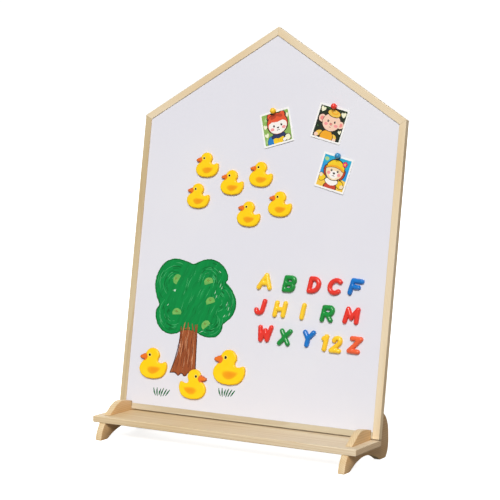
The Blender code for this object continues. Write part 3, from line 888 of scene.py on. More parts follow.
@dataclass
class Duck(RoundedMagnet):
    """A duck magnet: a raised orange wing, an orange beak and a bead of an eye.

    Sizes on the duck's face are in millimetres on the small duck, from its disc's middle.
    """

    voxel: float = 0.6 * MM
    round_in: float = 3.4 * MM
    round_down: float = 2.6 * MM
    bulge: float = 0.0
    turn: float = 0.0
    scale: float = 1.0
    mirrored: bool = False
    wing_middle: tuple[float, float] = (3.4, -11.0)
    wing_size: tuple[float, float] = (13.4, 6.4)
    wing_tilt: float = 6.0
    wing_rise: float = 0.45 * MM
    eye_spot: tuple[float, float] = (-6.7, 14.7)
    eye_radius: float = 2.35
    eye_bulge: float = 0.4
    lid_width: float = 0.4
    beak_root: float = -11.2
    beak_middle: float = 11.2
    beak_half: float = 5.5
    beak_bow: float = 3.0
    throat: float = 4.6

    def own(self, spots: np.ndarray) -> np.ndarray:
        """Return spots on the duck in millimetres, upright, facing left and at the small duck's size."""
        middle = self.plane.middle(self.node + "_magnet")
        lean = math.radians(-self.turn)
        x, y = (spots[:, 0] - middle.x) / MM, (spots[:, 1] - middle.y) / MM
        u = (x * math.cos(lean) - y * math.sin(lean)) / self.scale
        v = (x * math.sin(lean) + y * math.cos(lean)) / self.scale
        return np.stack([-u if self.mirrored else u, v], axis=1)

    def wing(self, own: np.ndarray) -> np.ndarray:
        """Return how far each spot lies inside the leaf-shaped wing, in millimetres."""
        lean = math.radians(self.wing_tilt)
        x, y = own[:, 0] - self.wing_middle[0], own[:, 1] - self.wing_middle[1]
        u = x * math.cos(lean) + y * math.sin(lean)
        v = -x * math.sin(lean) + y * math.cos(lean) - 0.012 * u * u + 0.8
        half = self.wing_size[1] * (1 - 0.3 * np.clip(u / self.wing_size[0], -0.4, 1))
        return (1 - np.sqrt((u / self.wing_size[0]) ** 2 + (v / half) ** 2)) * self.wing_size[1]

    def beak(self, own: np.ndarray) -> np.ndarray:
        """Return how far each spot lies inside the beak, in millimetres."""
        root = self.beak_root - self.beak_bow * ((own[:, 1] - self.beak_middle) / self.beak_half) ** 2
        return np.minimum(root - own[:, 0], own[:, 1] - self.throat)

    def lid(self, own: np.ndarray) -> np.ndarray:
        """Return how far each spot lies inside the pale ring about the eye, in millimetres."""
        gap = np.hypot(own[:, 0] - self.eye_spot[0], own[:, 1] - self.eye_spot[1])
        return self.eye_radius + self.lid_width - gap

    def relief(self, spots: np.ndarray, height: np.ndarray) -> np.ndarray:
        """Raise the wing a little."""
        inside = np.clip((self.wing(self.own(spots)) + 0.3) / 1.6, 0, 1)
        return self.wing_rise * inside * inside * (3 - 2 * inside)

    def marks(self, mesh: bpy.types.Mesh, spots: np.ndarray, inward: np.ndarray) -> None:
        """Store the wing, beak and rim distances for the finish."""
        own = self.own(spots)
        found = {"wing": self.wing(own), "beak": self.beak(own), "rim": inward / MM, "eye": self.lid(own)}
        for key, values in found.items():
            kept = mesh.attributes.new(key, "FLOAT", "POINT")
            kept.data.foreach_set("value", values.astype(np.float32))

    def eye(self, finish: bpy.types.Material) -> bpy.types.Object:
        """Return the bead of the eye, riding with the duck."""
        form = bmesh.new()
        radius = self.eye_radius * self.scale * MM
        bmesh.ops.create_uvsphere(form, u_segments=24, v_segments=12, radius=radius)
        bmesh.ops.scale(form, vec=(1, 1, self.eye_bulge), verts=form.verts)
        side = -1 if self.mirrored else 1
        spot = Vector((side * self.eye_spot[0], self.eye_spot[1], 0)) * self.scale * MM
        front = self.plane.extent(self.node)[1].z
        place = self.plane.seat(self.node + "_magnet", self.turn, front) @ Matrix.Translation(spot)
        bmesh.ops.transform(form, matrix=place, verts=form.verts)
        mesh = written(form, bpy.data.meshes.new("eye"))
        mesh.materials.append(finish)
        piece = shown(self.node + "_eye", mesh)
        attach(piece, self.node)
        return piece


class Magnets:
    """The loose magnets on the board: ducks, letters and numbers."""

    DUCKS = (
        ("duck_1", 1.0, 3, False),
        ("duck_2", 1.0, 0, False),
        ("duck_3", 1.0, -2, False),
        ("duck_4", 1.0, 0, False),
        ("duck_5", 1.0, -3, False),
        ("duck_6", 1.0, -2, False),
        ("duck_7", 1.24, 2, False),
        ("duck_8", 1.19, 0, True),
        ("duck_9", 1.38, 0, False),
    )
    GLYPHS = {
        Plastics.YELLOW: ("letter_a", "letter_h", "letter_i", "number_1", "number_2"),
        Plastics.GREEN: ("letter_b", "letter_r", "letter_x"),
        Plastics.RED: ("letter_d", "letter_c", "letter_j", "letter_m", "letter_w"),
        Plastics.BLUE: ("letter_f", "letter_y"),
        Plastics.ORANGE: ("letter_z",),
    }

    def __init__(self, plane: BoardPlane) -> None:
        """Keep the plane the magnets hold to."""
        self.plane = plane

    def build(self) -> None:
        """Build every duck, letter and number, and dress the discs."""
        coat = DuckCoat().material()
        bead = Plastic("eye_bead", "#0C0605", "#050302", 0.5, 0.0, 0.12).material()
        disc = Ferrite().material()
        for node, scale, turn, mirrored in self.DUCKS:
            duck = Duck(self.plane, node, coat, "duck_yellow", turn=turn, scale=scale, mirrored=mirrored)
            duck.build()
            duck.eye(bead)
            dress(node + "_magnet", disc)
        for colour, nodes in self.GLYPHS.items():
            for node in nodes:
                RoundedMagnet(self.plane, node, moulded(colour), colour.name.lower() + "_plastic").build()


# The drawing on the sheet


class TreeDrawing:
    """A tree and two tufts of grass, drawn with crayon on the writing sheet. Sizes are in millimetres."""

    CROWN = (
        (-256, 294, 1), (-250, 322, 1), (-229, 346, 1), (-199, 352, 1), (-172, 346, 1), (-160, 343),
        (-140, 352, 1), (-118, 356, 1), (-90, 347, 1), (-73, 328, 1), (-71, 315, 1), (-75, 309),
        (-56, 291, 1), (-45, 265, 1), (-52, 237, 1), (-66, 224, 1), (-73, 218),
        (-76, 202, 1), (-88, 190, 1), (-105, 187, 1), (-124, 190, 1), (-137, 195),
        (-160, 199, 1), (-178, 195),
        (-190, 189, 1), (-207, 187, 1), (-232, 197, 1), (-246, 219, 1), (-247, 236, 1), (-240, 249),
        (-250, 268, 1),
    )
    LOBES = ((-203, 298, 49), (-120, 308, 44), (-92, 266, 44), (-108, 226, 36), (-200, 234, 43))
    TRUNK = (
        (-180, 208), (-176, 206, 1), (-155, 206, 1), (-137, 206), (-136, 170, 1), (-134, 140, 1),
        (-132, 112), (-141, 104, 1), (-150, 107), (-158, 99, 1), (-167, 104), (-175, 98, 1), (-183, 104),
        (-196, 103), (-189, 122, 1), (-181, 150, 1), (-178, 180, 1),
    )
    MARKS = ((-201, 308, 62), (-119, 308, 18), (-110, 266, 20), (-193, 236, 6), (-117, 214, 40))
    FLECKS = (
        (-88, 301, 70), (-84, 296, 66), (-68, 262, 75), (-63, 252, 80), (-100, 285, 70), (-96, 276, 68),
        (-60, 240, 70), (-204, 284, 20), (-218, 250, 40), (-126, 198, 25), (-72, 236, 50), (-92, 330, 140),
    )
    HEART = (-152, 268)
    SEED = 11
    TUFTS = ((-214, 58, 1.2), (-49, 73, 1.16))
    BLADES = ((-15, 7, -3.0), (-9, 8, -1.0), (-3, 6, 1.5), (2, 8, 3.0), (8, 7, 4.2), (14, 6, 4.8))
    SIDES = (
        ((-179, 207), (-179, 180), (-183, 150), (-190, 122), (-197, 103)),
        ((-137, 206), (-135.5, 172), (-134, 140), (-132, 112)),
        ((-197, 103), (-183, 104), (-175, 98)),
        ((-175, 98.5), (-167, 104), (-158, 99), (-150, 107)),
        ((-150, 106.5), (-141, 104), (-132, 112)),
    )
    LEAF = ((-11, -5.4), (11, -5.4), (10.6, 2.2, 1), (4.6, 7.4, 1), (-4.6, 7.4, 1), (-10.6, 2.2, 1))
    SCRIBBLE = (((-6.5, -2.4), (-1, 3.2), (4.5, 4.2)), ((-4, -3), (1, 1), (6.6, 1)), ((-1, -3.6), (5, -2)))
    UNDER = -0.05
    BASE = -14.6

    def __init__(self, plane: BoardPlane) -> None:
        """Keep the board's plane and draw the same strokes every time."""
        self.plane = plane
        self.dice = random.Random(self.SEED)
        noise.seed_set(self.SEED)
        up, right = plane.up, plane.right
        lean = (right * 0.35 + up * 0.94).normalized()
        over = (right * 0.94 - up * 0.35).normalized()
        self.green = self.wax("crown_green", "#048C42 #017235 #2AA860", lean, over, 0.3)
        self.deep = self.wax("crown_edge", "#00672A #005523 #0B8440", up, right)
        self.bright = self.wax("crown_bright", "#55B878 #1E9C50 #9FD8B2", up, right)
        self.fleck = self.wax("bare_fleck", "#CFEBD8 #A2D8B4 #EAF5EC", up, right)
        self.leaf = self.wax("leaf_mark", "#7FBB60 #4FA04C #A8D080", over, lean)
        self.core = self.wax("leaf_core", "#7C7A34 #5F6F2E #98934C", over, lean)
        self.bark = self.wax("trunk_bark", "#A2562F #74361E #D2905F", up, right, 0.12)
        self.dark = self.wax("trunk_edge", "#4A2219 #331711 #693A2A", up, right)
        self.light = self.wax("trunk_light", "#DDA27A #BD7344 #EBC3A4", up, right)
        self.blade = self.wax("grass_blade", "#0A6636 #07502A #1F8550", up, right)

    @staticmethod
    def wax(name: str, shades: str, run: Vector, cross: Vector, bare: float = 0.0) -> bpy.types.Material:
        """Return a crayon's material from its ground, dark and light shades."""
        return Crayon(name, *shades.split(), tuple(run), tuple(cross), bare).material()

    def on_sheet(self, layers: Layers) -> bpy.types.Object:
        """Lay the shapes on the sheet and let them ride with the board."""
        piece = layers.piece(self.plane.place @ Matrix.Translation((0, self.BASE * MM, self.plane.sheet)))
        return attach(piece, "board")

    def crown(self) -> None:
        """Draw the crown: a ground, strokes that follow the lobes, an edge line and pale flecks."""
        layers = Layers("tree_crown")
        layers.add(waver(patch(self.CROWN, self.UNDER, 0.05, 14), 0.9, 160), self.green)
        dice = self.dice
        for count, width, finish, top in ((15, 2.2, self.deep, 0.075), (11, 1.2, self.bright, 0.09)):
            lines = []
            for x, y, radius in self.LOBES:
                for _ in range(count):
                    out = math.atan2(y - self.HEART[1], x - self.HEART[0])
                    start = math.degrees(out) + dice.uniform(-85, 60)
                    depth = dice.uniform(2, radius * 0.75)
                    lines.append(arc(x, y, radius - depth, start, start + dice.uniform(18, 60)))
            layers.add(waver(strokes(lines, width, self.UNDER, top), 0.5, 300), finish)
        hatch = []
        for _ in range(34):
            x, y = dice.uniform(-185, -85), dice.uniform(222, 312)
            lean, long = dice.uniform(0.2, 0.5), dice.uniform(10, 26)
            hatch.append([(x, y), (x + lean * long * 0.45, y + long / 2), (x + lean * long, y + long)])
        layers.add(waver(strokes(hatch[:20], 1.25, self.UNDER, 0.1), 0.6, 300), self.bright)
        layers.add(waver(strokes(hatch[20:], 1.8, self.UNDER, 0.085), 0.6, 300), self.deep)
        edge = strokes(self.outline(self.CROWN, 1.0), 2.6, self.UNDER, 0.11, taper=0.7)
        layers.add(waver(edge, 0.9, 160), self.deep)
        short = []
        for x, y, turn in self.FLECKS:
            along, up = turned([(dice.uniform(2.6, 5.5), 0)], 0, 0, turn)[0]
            short.append([(x - along, y - up), (x + 0.4, y), (x + along, y + up)])
        layers.add(strokes(short, 1.3, self.UNDER, 0.125), self.fleck)
        layers.add(waver(patch(oval(-203, 282, 1.9, 1.7), self.UNDER, 0.125), 0.3, 500), self.fleck)
        self.on_sheet(layers)

    @staticmethod
    def outline(knots: Sequence[Knot], inset: float) -> list[list[Knot]]:
        """Return open strokes that run just inside an outline, one between each pair of corners."""
        middle = Vector((sum(k[0] for k in knots) / len(knots), sum(k[1] for k in knots) / len(knots)))
        pulled = []
        for knot in knots:
            way = (middle - Vector(knot[:2])).normalized() * inset
            pulled.append((knot[0] + way.x, knot[1] + way.y))
        pulled.append(pulled[0])
        return [pulled[i : i + 4] for i in range(0, len(pulled) - 1, 3)]

    def leaf_marks(self) -> None:
        """Draw the pale half-round leaf marks on the crown."""
        layers = Layers("tree_leaf_marks")
        for x, y, turn in self.MARKS:
            lean = math.radians(turn)
            place = Matrix.Translation((x * MM, y * MM, 0)) @ Matrix.Rotation(lean, 4, "Z")
            ground = waver(patch(self.LEAF, self.UNDER, 0.135), 0.5, 500, x)
            ground.transform(place)
            layers.add(ground, self.leaf)
            inner = waver(strokes(self.SCRIBBLE, 2.7, self.UNDER, 0.18), 0.5, 500, x)
            inner.transform(place)
            layers.add(inner, self.core)
        self.on_sheet(layers)

    def trunk(self) -> None:
        """Draw the trunk: a ground, bark lines and a dark edge line."""
        layers = Layers("tree_trunk")
        dice = self.dice
        layers.add(waver(patch(self.TRUNK, self.UNDER, 0.04, 8), 0.6, 220), self.bark)
        for count, width, finish, top in ((26, 1.3, self.dark, 0.06), (20, 1.1, self.light, 0.07)):
            lines = []
            for _ in range(count):
                share, low = dice.uniform(0.08, 0.92), dice.uniform(106, 170)
                high = min(203, low + dice.uniform(14, 46))
                line = []
                for step in range(4):
                    y = low + (high - low) * step / 3
                    left = -178 - 15 * ((206 - y) / 100) ** 2
                    right = -137 + 4 * (206 - y) / 100
                    line.append((left + (right - left) * share + dice.uniform(-0.7, 0.7), y))
                lines.append(line)
            layers.add(strokes(lines, width, self.UNDER, top), finish)
        layers.add(waver(strokes(self.SIDES, 2.6, self.UNDER, 0.09, taper=0.7), 0.5, 250), self.dark)
        ragged = []
        for step in range(11):
            x = -177 + 40 * step / 10 + dice.uniform(-1.6, 1.6)
            top = dice.choice((201, 203, 206, 213)) + dice.uniform(-2, 2)
            ragged.append([(x, 184), (x + dice.uniform(-1, 1), 193), (x + dice.uniform(-4, 4), top)])
        layers.add(strokes(ragged, 4.4, self.UNDER, 0.13, taper=0.5), self.bark)
        layers.add(strokes(ragged[1::4], 1.6, self.UNDER, 0.14, taper=0.5), self.light)
        layers.add(strokes(ragged[::3], 1.3, self.UNDER, 0.15, taper=0.5), self.dark)
        self.on_sheet(layers)

    def grass(self) -> None:
        """Draw the two tufts of grass."""
        for number, (x, y, scale) in enumerate(self.TUFTS, 1):
            layers = Layers(f"grass_tuft_{number}")
            lines = []
            for dx, half, lean in self.BLADES:
                dx, half, lean = dx * scale, half * scale, lean * scale
                bow = self.dice.uniform(0.5, 1.4)
                root = x + dx
                lines.append([(root - lean, y - half), (root - bow, y), (root + lean * 0.8, y + half)])
            layers.add(waver(strokes(lines, 3.7, self.UNDER, 0.06, taper=0.4), 0.3, 300), self.blade)
            self.on_sheet(layers)

    def build(self) -> None:
        """Draw the whole picture."""
        self.trunk()
        self.crown()
        self.leaf_marks()
        self.grass()


# Picture cards


@dataclass(frozen=True)
class Blot:
    """A printed shape in millimetres from the card's middle, with a dark outline of a given weight."""

    ink: Ink
    knots: tuple[Knot, ...] | list[Knot]
    edge: float = 0.0


@dataclass(frozen=True)
class Line:
    """A printed line, its width in millimetres."""

    ink: Ink
    knots: tuple[Knot, ...]
    width: float


def leaf(x: float, y: float, long: float, turn: float) -> list[Knot]:
    """Return the outline of a pointed leaf."""
    knots = ((-1, 0), (-0.3, 0.42, 1), (0.4, 0.36, 1), (1, 0), (0.4, -0.36, 1), (-0.3, -0.42, 1))
    return turned(knots, x, y, turn, long / 2)


def heart(x: float, y: float, size: float, turn: float = 0.0) -> list[Knot]:
    """Return the outline of a small heart."""
    knots = (
        (0, -1), (0.75, -0.15, 1), (0.9, 0.5, 1), (0.45, 0.85, 1),
        (0, 0.5), (-0.45, 0.85, 1), (-0.9, 0.5, 1), (-0.75, -0.15, 1),
    )
    return turned(knots, x, y, turn, size)


def pair(ink: Ink, middle: float, apart: float, y: float, a: float, b: float) -> list[Blot]:
    """Return two equal ovals, one to each side of a face's middle."""
    return [Blot(ink, oval(middle + side * apart / 2, y, a, b)) for side in (-1, 1)]


class PictureCard:
    """A square picture card: coated stock with a printed picture, bowed off the board below its pin."""

    WIDTH = 73.0
    HEIGHT = 75.0
    BORDER = 4.0
    THICK = 0.5
    CORNER = 0.8
    INK = 0.005
    SINK = 0.2
    EDGE = 5.0
    ROW = 3.1
    REACH = 54.0
    HELD = 12.0
    CURL = 1.7

    def __init__(self, plane: BoardPlane, node: str, turn: float, bow: float, bow_turn: float) -> None:
        """Set the card out.

        Args:
            plane: The board's plane.
            node: The CAD node the card stands for.
            turn: The card's turn on the board, in degrees.
            bow: How far the free edge stands off the board, in millimetres.
            bow_turn: Turn of the bend's direction on the card, in degrees.
        """
        self.plane = plane
        self.node = node
        self.turn = turn
        self.bow = bow
        angle = math.radians(-90 + bow_turn)
        self.fall = Vector((math.cos(angle), math.sin(angle), 0))

    def picture(self) -> list[Blot | Line]:
        """Return the printed shapes, lowest first."""
        raise NotImplementedError

    def frame_knots(self, inset: float, corner: float) -> list[Knot]:
        """Return a rectangle's outline, drawn in from the card's edge."""
        a, b = self.WIDTH / 2 - inset, self.HEIGHT / 2 - inset
        knots = []
        for sx, sy in ((1, 1), (-1, 1), (-1, -1), (1, -1)):
            ends = [(sx * a, sy * (b - corner)), (sx * (a - corner), sy * b)]
            knots += ends if sx * sy > 0 else ends[::-1]
        return knots

    def clipped(self, mesh: bpy.types.Mesh) -> bpy.types.Mesh:
        """Cut a printed shape off at the picture's edge."""
        form = opened(mesh)
        a, b = (self.WIDTH / 2 - self.BORDER) * MM, (self.HEIGHT / 2 - self.BORDER) * MM
        for way, reach in (((1, 0, 0), a), ((-1, 0, 0), a), ((0, 1, 0), b), ((0, -1, 0), b)):
            normal = Vector(way)
            if max((v.co.dot(normal) for v in form.verts), default=0.0) <= reach:
                continue
            geometry = [*form.verts, *form.edges, *form.faces]
            cut = bmesh.ops.bisect_plane(
                form, geom=geometry, dist=CUT_SNAP,
                plane_co=normal * reach, plane_no=normal, clear_outer=True,
            )
            rim = [item for item in cut["geom_cut"] if isinstance(item, bmesh.types.BMEdge)]
            if rim:
                bmesh.ops.holes_fill(form, edges=rim, sides=0)
        bmesh.ops.recalc_face_normals(form, faces=form.faces)
        return written(form, mesh)

    def bend(self, form: bmesh.types.BMesh) -> None:
        """Bow the card off the board towards its free edge."""
        reach = self.HEIGHT * MM
        for vertex in form.verts:
            down = vertex.co.dot(self.fall) + reach / 2
            share = max(0.0, (down - self.HELD * MM) / reach)
            vertex.co.z += self.bow * MM * share**self.CURL

    def build(self) -> None:
        """Build the stock and its print."""
        stock = Layers(self.node + "_stock")
        stock.add(patch(self.frame_knots(0, self.CORNER), 0.0, self.THICK), printed(Ink.STOCK))
        picture = Layers(self.node + "_picture")
        top = self.THICK
        for blot in self.picture():
            top += self.INK
            if isinstance(blot, Line):
                line = strokes([blot.knots], blot.width, top - self.SINK, top)
                picture.add(self.clipped(line), printed(blot.ink))
                continue
            if blot.edge:
                ring = strokes([blot.knots], blot.edge * self.EDGE, top - self.SINK, top, closed=True)
                picture.add(self.clipped(ring), printed(Ink.OUTLINE))
                top += self.INK
            picture.add(self.clipped(patch(blot.knots, top - self.SINK, top)), printed(blot.ink))
        place = self.plane.seat(self.node, self.turn)
        for layers in (stock, picture):
            layers.cut_rows(self.fall, self.ROW * MM, self.REACH * MM)
            self.bend(layers.form)
            bmesh.ops.recalc_face_normals(layers.form, faces=layers.form.faces)
        piece = stock.piece(place)
        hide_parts(self.node)
        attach(piece, self.node)
        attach(picture.piece(place), self.node)

    def field(self, ink: Ink) -> Blot:
        """Return the picture's background."""
        return Blot(ink, self.frame_knots(self.BORDER, 0.1))


class FoxCard(PictureCard):
    """A fox cub in a navy collar on a green field."""

    def picture(self) -> list[Blot | Line]:
        """Return the printed shapes, lowest first."""
        shapes: list[Blot | Line] = [self.field(Ink.MOSS)]
        for x, y, long, turn in ((-22, 24, 15, 40), (-27, -24, 13, 70), (27, 4, 14, 80), (12, 30, 12, 10)):
            shapes.append(Blot(Ink.FERN, leaf(x, y, long, turn)))
        for x, y, size, turn in ((27, 21, 5.6, 12), (-27, 7, 5.2, -15), (-26, -12, 5.4, 10)):
            shapes.append(Blot(Ink.CREAM, heart(x, y, size, turn)))
        shapes += [
            Blot(Ink.WATER, oval(-17, -27, 8.5, 11, -18), 0.6),
            Blot(Ink.SUN, ((-12, -36), (-10, -20, 1), (0, -16, 1), (12, -20, 1), (15, -36)), 0.6),
            Blot(Ink.NAVY, ((-14, -16, 1), (2, -12, 1), (17, -15, 1), (18, -20, 1), (8, -22, 1), (2, -24),
                            (-6, -22, 1), (-15, -21, 1)), 0.4),
            Blot(Ink.CREAM, oval(23, -26, 6.5, 6.5), 0.7),
            Blot(Ink.SNOW, oval(15, -29, 4.5, 3.6, 30), 0.6),
            Blot(Ink.PEEL, ((-17, 18), (-18, 30, 1), (-14, 33, 1), (-5, 27)), 0.7),
            Blot(Ink.PEEL, ((10, 28), (17, 33, 1), (22, 31, 1), (22, 18)), 0.7),
            Blot(Ink.PEEL, oval(3, 8.5, 24, 22.5, 0, 14), 0.9),
            Blot(Ink.RUST, ((-12, 22, 1), (3, 29.5, 1), (18, 22, 1), (10, 22, 1), (4, 25), (-2, 21, 1))),
            Blot(Ink.SNOW, ((3, 12), (10, 13, 1), (19, 13, 1), (25, 6, 1), (21, -6, 1), (12, -12, 1),
                            (3, -13.5, 1), (-6, -12, 1), (-15, -6, 1), (-19, 6, 1), (-13, 13, 1),
                            (-4, 13, 1))),
            *pair(Ink.BLUSH, 3, 28, -2, 4.6, 3.4),
            *pair(Ink.OUTLINE, 3, 18, 4.5, 2.2, 2.6),
            *pair(Ink.SNOW, 3.5, 18, 5.4, 0.6, 0.6),
            Blot(Ink.OUTLINE, ((0.4, 0.4, 1), (3, 1.2, 1), (5.6, 0.4, 1), (3, -2.2, 1))),
            Line(Ink.OUTLINE, ((-2, -4), (0.4, -5.8), (3, -4), (5.6, -5.8), (8, -4)), 1.6),
            Blot(Ink.AMBER, oval(-1, -27, 1.5, 1.5)),
            Blot(Ink.AMBER, oval(5, -28, 1.5, 1.5)),
        ]
        return shapes


class MouseCard(PictureCard):
    """A mouse with big ears and a straw hat among dark leaves."""

    def picture(self) -> list[Blot | Line]:
        """Return the printed shapes, lowest first."""
        dice = random.Random(5)
        shapes: list[Blot | Line] = [self.field(Ink.FOREST)]
        for _ in range(34):
            spread = ((-33, 33), (-34, 34), (3, 6), (0, 180))
            shapes.append(Blot(Ink.LEAF, leaf(*(dice.uniform(*ends) for ends in spread))))
        for x, y, size, turn in ((-25, 26, 6.2, -12), (26, 24, 6.4, 14), (28, -13, 4.4, 20)):
            shapes.append(Blot(Ink.CREAM, heart(x, y, size, turn)))
        shapes += [
            Blot(Ink.STRAW, oval(-20, -25, 8.5, 5.5, 35), 0.6),
            Blot(Ink.SKIN, oval(-25, -29, 4.8, 4.2), 0.6),
            Blot(Ink.STRAW, oval(17, -27, 7.5, 6, -40), 0.6),
            Blot(Ink.SKIN, oval(20, -32, 4.2, 4), 0.6),
            Blot(Ink.AMBER, ((-14, -37), (-13, -22, 1), (0, -16, 1), (13, -22, 1), (13, -37)), 0.7),
            Line(Ink.BRICK, ((-8, -24), (-2, -27), (4, -24)), 2.0),
            Line(Ink.BRICK, ((-8, -30), (-2, -33), (4, -30)), 2.0),
            Blot(Ink.SKIN, oval(-21, 7, 8.5, 8), 0.8),
            Blot(Ink.PINK, oval(-21.5, 7, 4.8, 4.4)),
            Blot(Ink.SKIN, oval(25, 2, 8, 7.6), 0.8),
            Blot(Ink.PINK, oval(25.5, 2, 4.5, 4.2)),
            Blot(Ink.SKIN, oval(2.5, 3, 21, 18.5, 0, 14), 0.8),
            *pair(Ink.BLUSH, 3, 24, -2.5, 4.4, 3.2),
            *pair(Ink.OUTLINE, 2.5, 16, 4.5, 2.1, 2.5),
            *pair(Ink.SNOW, 3, 16, 5.3, 0.6, 0.6),
            Blot(Ink.PINK, oval(2.5, -1, 2.6, 1.8), 0.4),
            Line(Ink.OUTLINE, ((-2.5, -5), (2.5, -7.6), (7.5, -5)), 1.6),
            Line(Ink.OUTLINE, ((-9, 0), (-16, 1.4)), 0.8),
            Line(Ink.OUTLINE, ((14, 0), (21, 1.4)), 0.8),
            Blot(Ink.STRAW, oval(3.5, 22.5, 15, 7.2, -4), 0.8),
            Blot(Ink.AMBER, oval(3.8, 25, 8.6, 5.2, -4), 0.5),
            Blot(Ink.STRAW, oval(3.8, 26, 6.6, 3.4, -4)),
        ]
        return shapes


class PuppyCard(PictureCard):
    """A puppy in a sun hat and a neckerchief at the seaside."""

    def picture(self) -> list[Blot | Line]:
        """Return the printed shapes, lowest first."""
        a, b = self.WIDTH / 2 - self.BORDER, self.HEIGHT / 2 - self.BORDER
        shapes: list[Blot | Line] = [
            self.field(Ink.SKY),
            Blot(Ink.TEAL, ((-a, 15), (-12, 17, 1), (10, 12, 1), (a, 14), (a, b), (-a, b))),
            Blot(Ink.FERN, oval(-25, 25, 5, 4)),
            Blot(Ink.SAND, ((-a, -b), (a, -b), (a, -11), (14, -9, 1), (-12, -13, 1), (-a, -10))),
        ]
        for x, y in ((-27, -27), (-21, -31), (27, -29), (22, -15), (29, -20), (-30, -20)):
            shapes.append(Blot(Ink.AMBER, oval(x, y, 1.0, 0.7, 20)))
        shapes += [
            Blot(Ink.SUN, oval(-24, -15, 8, 6.5, 40), 0.7),
            Blot(Ink.OATMEAL, oval(-28, -10, 4.2, 4), 0.6),
            Blot(Ink.SUN, oval(21, -21, 8.5, 7, -40), 0.7),
            Blot(Ink.OATMEAL, oval(27, -24, 4.2, 4), 0.6),
            Blot(Ink.BRICK, ((-13, -36), (-13, -27, 1), (0, -24, 1), (13, -27, 1), (13, -36)), 0.7),
            Line(Ink.CREAM, ((-9, -30), (0, -28), (9, -30)), 2.4),
            Blot(Ink.SNOW, ((-15, -17, 1), (0, -15, 1), (15, -17, 1), (10, -24, 1), (1, -27),
                            (-8, -25, 1)), 0.6),
            Line(Ink.NAVY, ((-12, -19.5), (0, -18), (12, -19.5)), 2.6),
            Line(Ink.NAVY, ((-8, -23.2), (0, -22), (8, -23.2)), 2.6),
            Blot(Ink.RUST, oval(-19, 1, 5.2, 10.5, 14), 0.7),
            Blot(Ink.RUST, oval(20, 0, 5.2, 10.5, -14), 0.7),
            Blot(Ink.OATMEAL, oval(0.5, 4.5, 20.5, 19.5, 0, 14), 0.9),
            Blot(Ink.SNOW, oval(0.5, -3.5, 10.5, 8.5)),
            *pair(Ink.BLUSH, 0.5, 25, -2, 4.2, 3.2),
            *pair(Ink.OUTLINE, 0.5, 15, 4.5, 2.2, 2.6),
            *pair(Ink.SNOW, 1, 15, 5.4, 0.6, 0.6),
            Blot(Ink.OUTLINE, ((-2.6, 0, 1), (0.5, 0.9, 1), (3.6, 0, 1), (0.5, -3, 1))),
            Line(Ink.OUTLINE, ((-4, -5.2), (-1.6, -7), (0.5, -5), (2.6, -7), (5, -5.2)), 1.6),
            Blot(Ink.SUN, ((-19, 11, 1), (-14, 22, 1), (1, 27.5, 1), (16, 21, 1), (21, 10, 1), (12, 13.5, 1),
                           (0, 15.5, 1), (-11, 14, 1)), 0.8),
            Blot(Ink.AMBER, ((-19, 11.5, 1), (-11, 14.8, 1), (0, 16.4, 1), (12, 14.4, 1), (21, 10.5, 1),
                             (23, 8, 1), (11, 10.5, 1), (0, 12, 1), (-12, 10.5, 1), (-22, 8.5, 1)), 0.5),
        ]
        for petal in range(5):
            x, y = turned([(3.4, 0)], 20, 23, 18 + 72 * petal)[0]
            shapes.append(Blot(Ink.ROSE, oval(x, y, 2.5, 2.5), 0.3))
        shapes.append(Blot(Ink.SUN, oval(20, 23, 2.0, 2.0)))
        return shapes


@dataclass
class PinMagnet:
    """A round-headed pin magnet, turned from its profile, with a disc in its base."""

    plane: BoardPlane
    node: str
    colour: Plastics
    slot: str
    radius: float = 6.3
    height: float = 12.5
    segments: int = 56

    def profile(self) -> list[tuple[float, float]]:
        """Return the half section, from the top of the head round to the pocket, in millimetres."""
        head = self.height - self.radius
        dome = [(k[0], k[1]) for k in arc(0, head, self.radius, 90, -34, 20)]
        dome[0] = (0.0, self.height)
        neck = [(5.1, 2.35), (5.03, 2.0), (5.02, 1.6)]
        foot = [(5.02, 0.4), (4.95, 0.12), (4.75, 0.0), (4.3, 0.0), (4.3, 2.1), (0.0, 2.1)]
        return dome + neck + foot

    def build(self) -> None:
        """Build the pin."""
        form = bmesh.new()
        verts = [form.verts.new((x * MM, 0, z * MM)) for x, z in self.profile()]
        edges = [form.edges.new(ends) for ends in zip(verts, verts[1:])]
        bmesh.ops.spin(
            form, geom=[*verts, *edges], cent=(0, 0, 0), axis=(0, 0, 1),
            angle=math.tau, steps=self.segments, use_merge=True, use_duplicate=False,
        )
        bmesh.ops.remove_doubles(form, verts=form.verts, dist=0.1 * MICRON)
        bmesh.ops.recalc_face_normals(form, faces=form.faces)
        place = self.plane.seat(self.node + "_magnet", 0.0, self.plane.extent(self.node)[0].z)
        bmesh.ops.transform(form, matrix=place, verts=form.verts)
        mesh = written(form, bpy.data.meshes.new(self.node))
        mesh.materials.append(moulded(self.colour))
        piece = shown(self.node + "_turned", mesh)
        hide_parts(self.node)
        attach(piece, self.node)


# Timber and panels


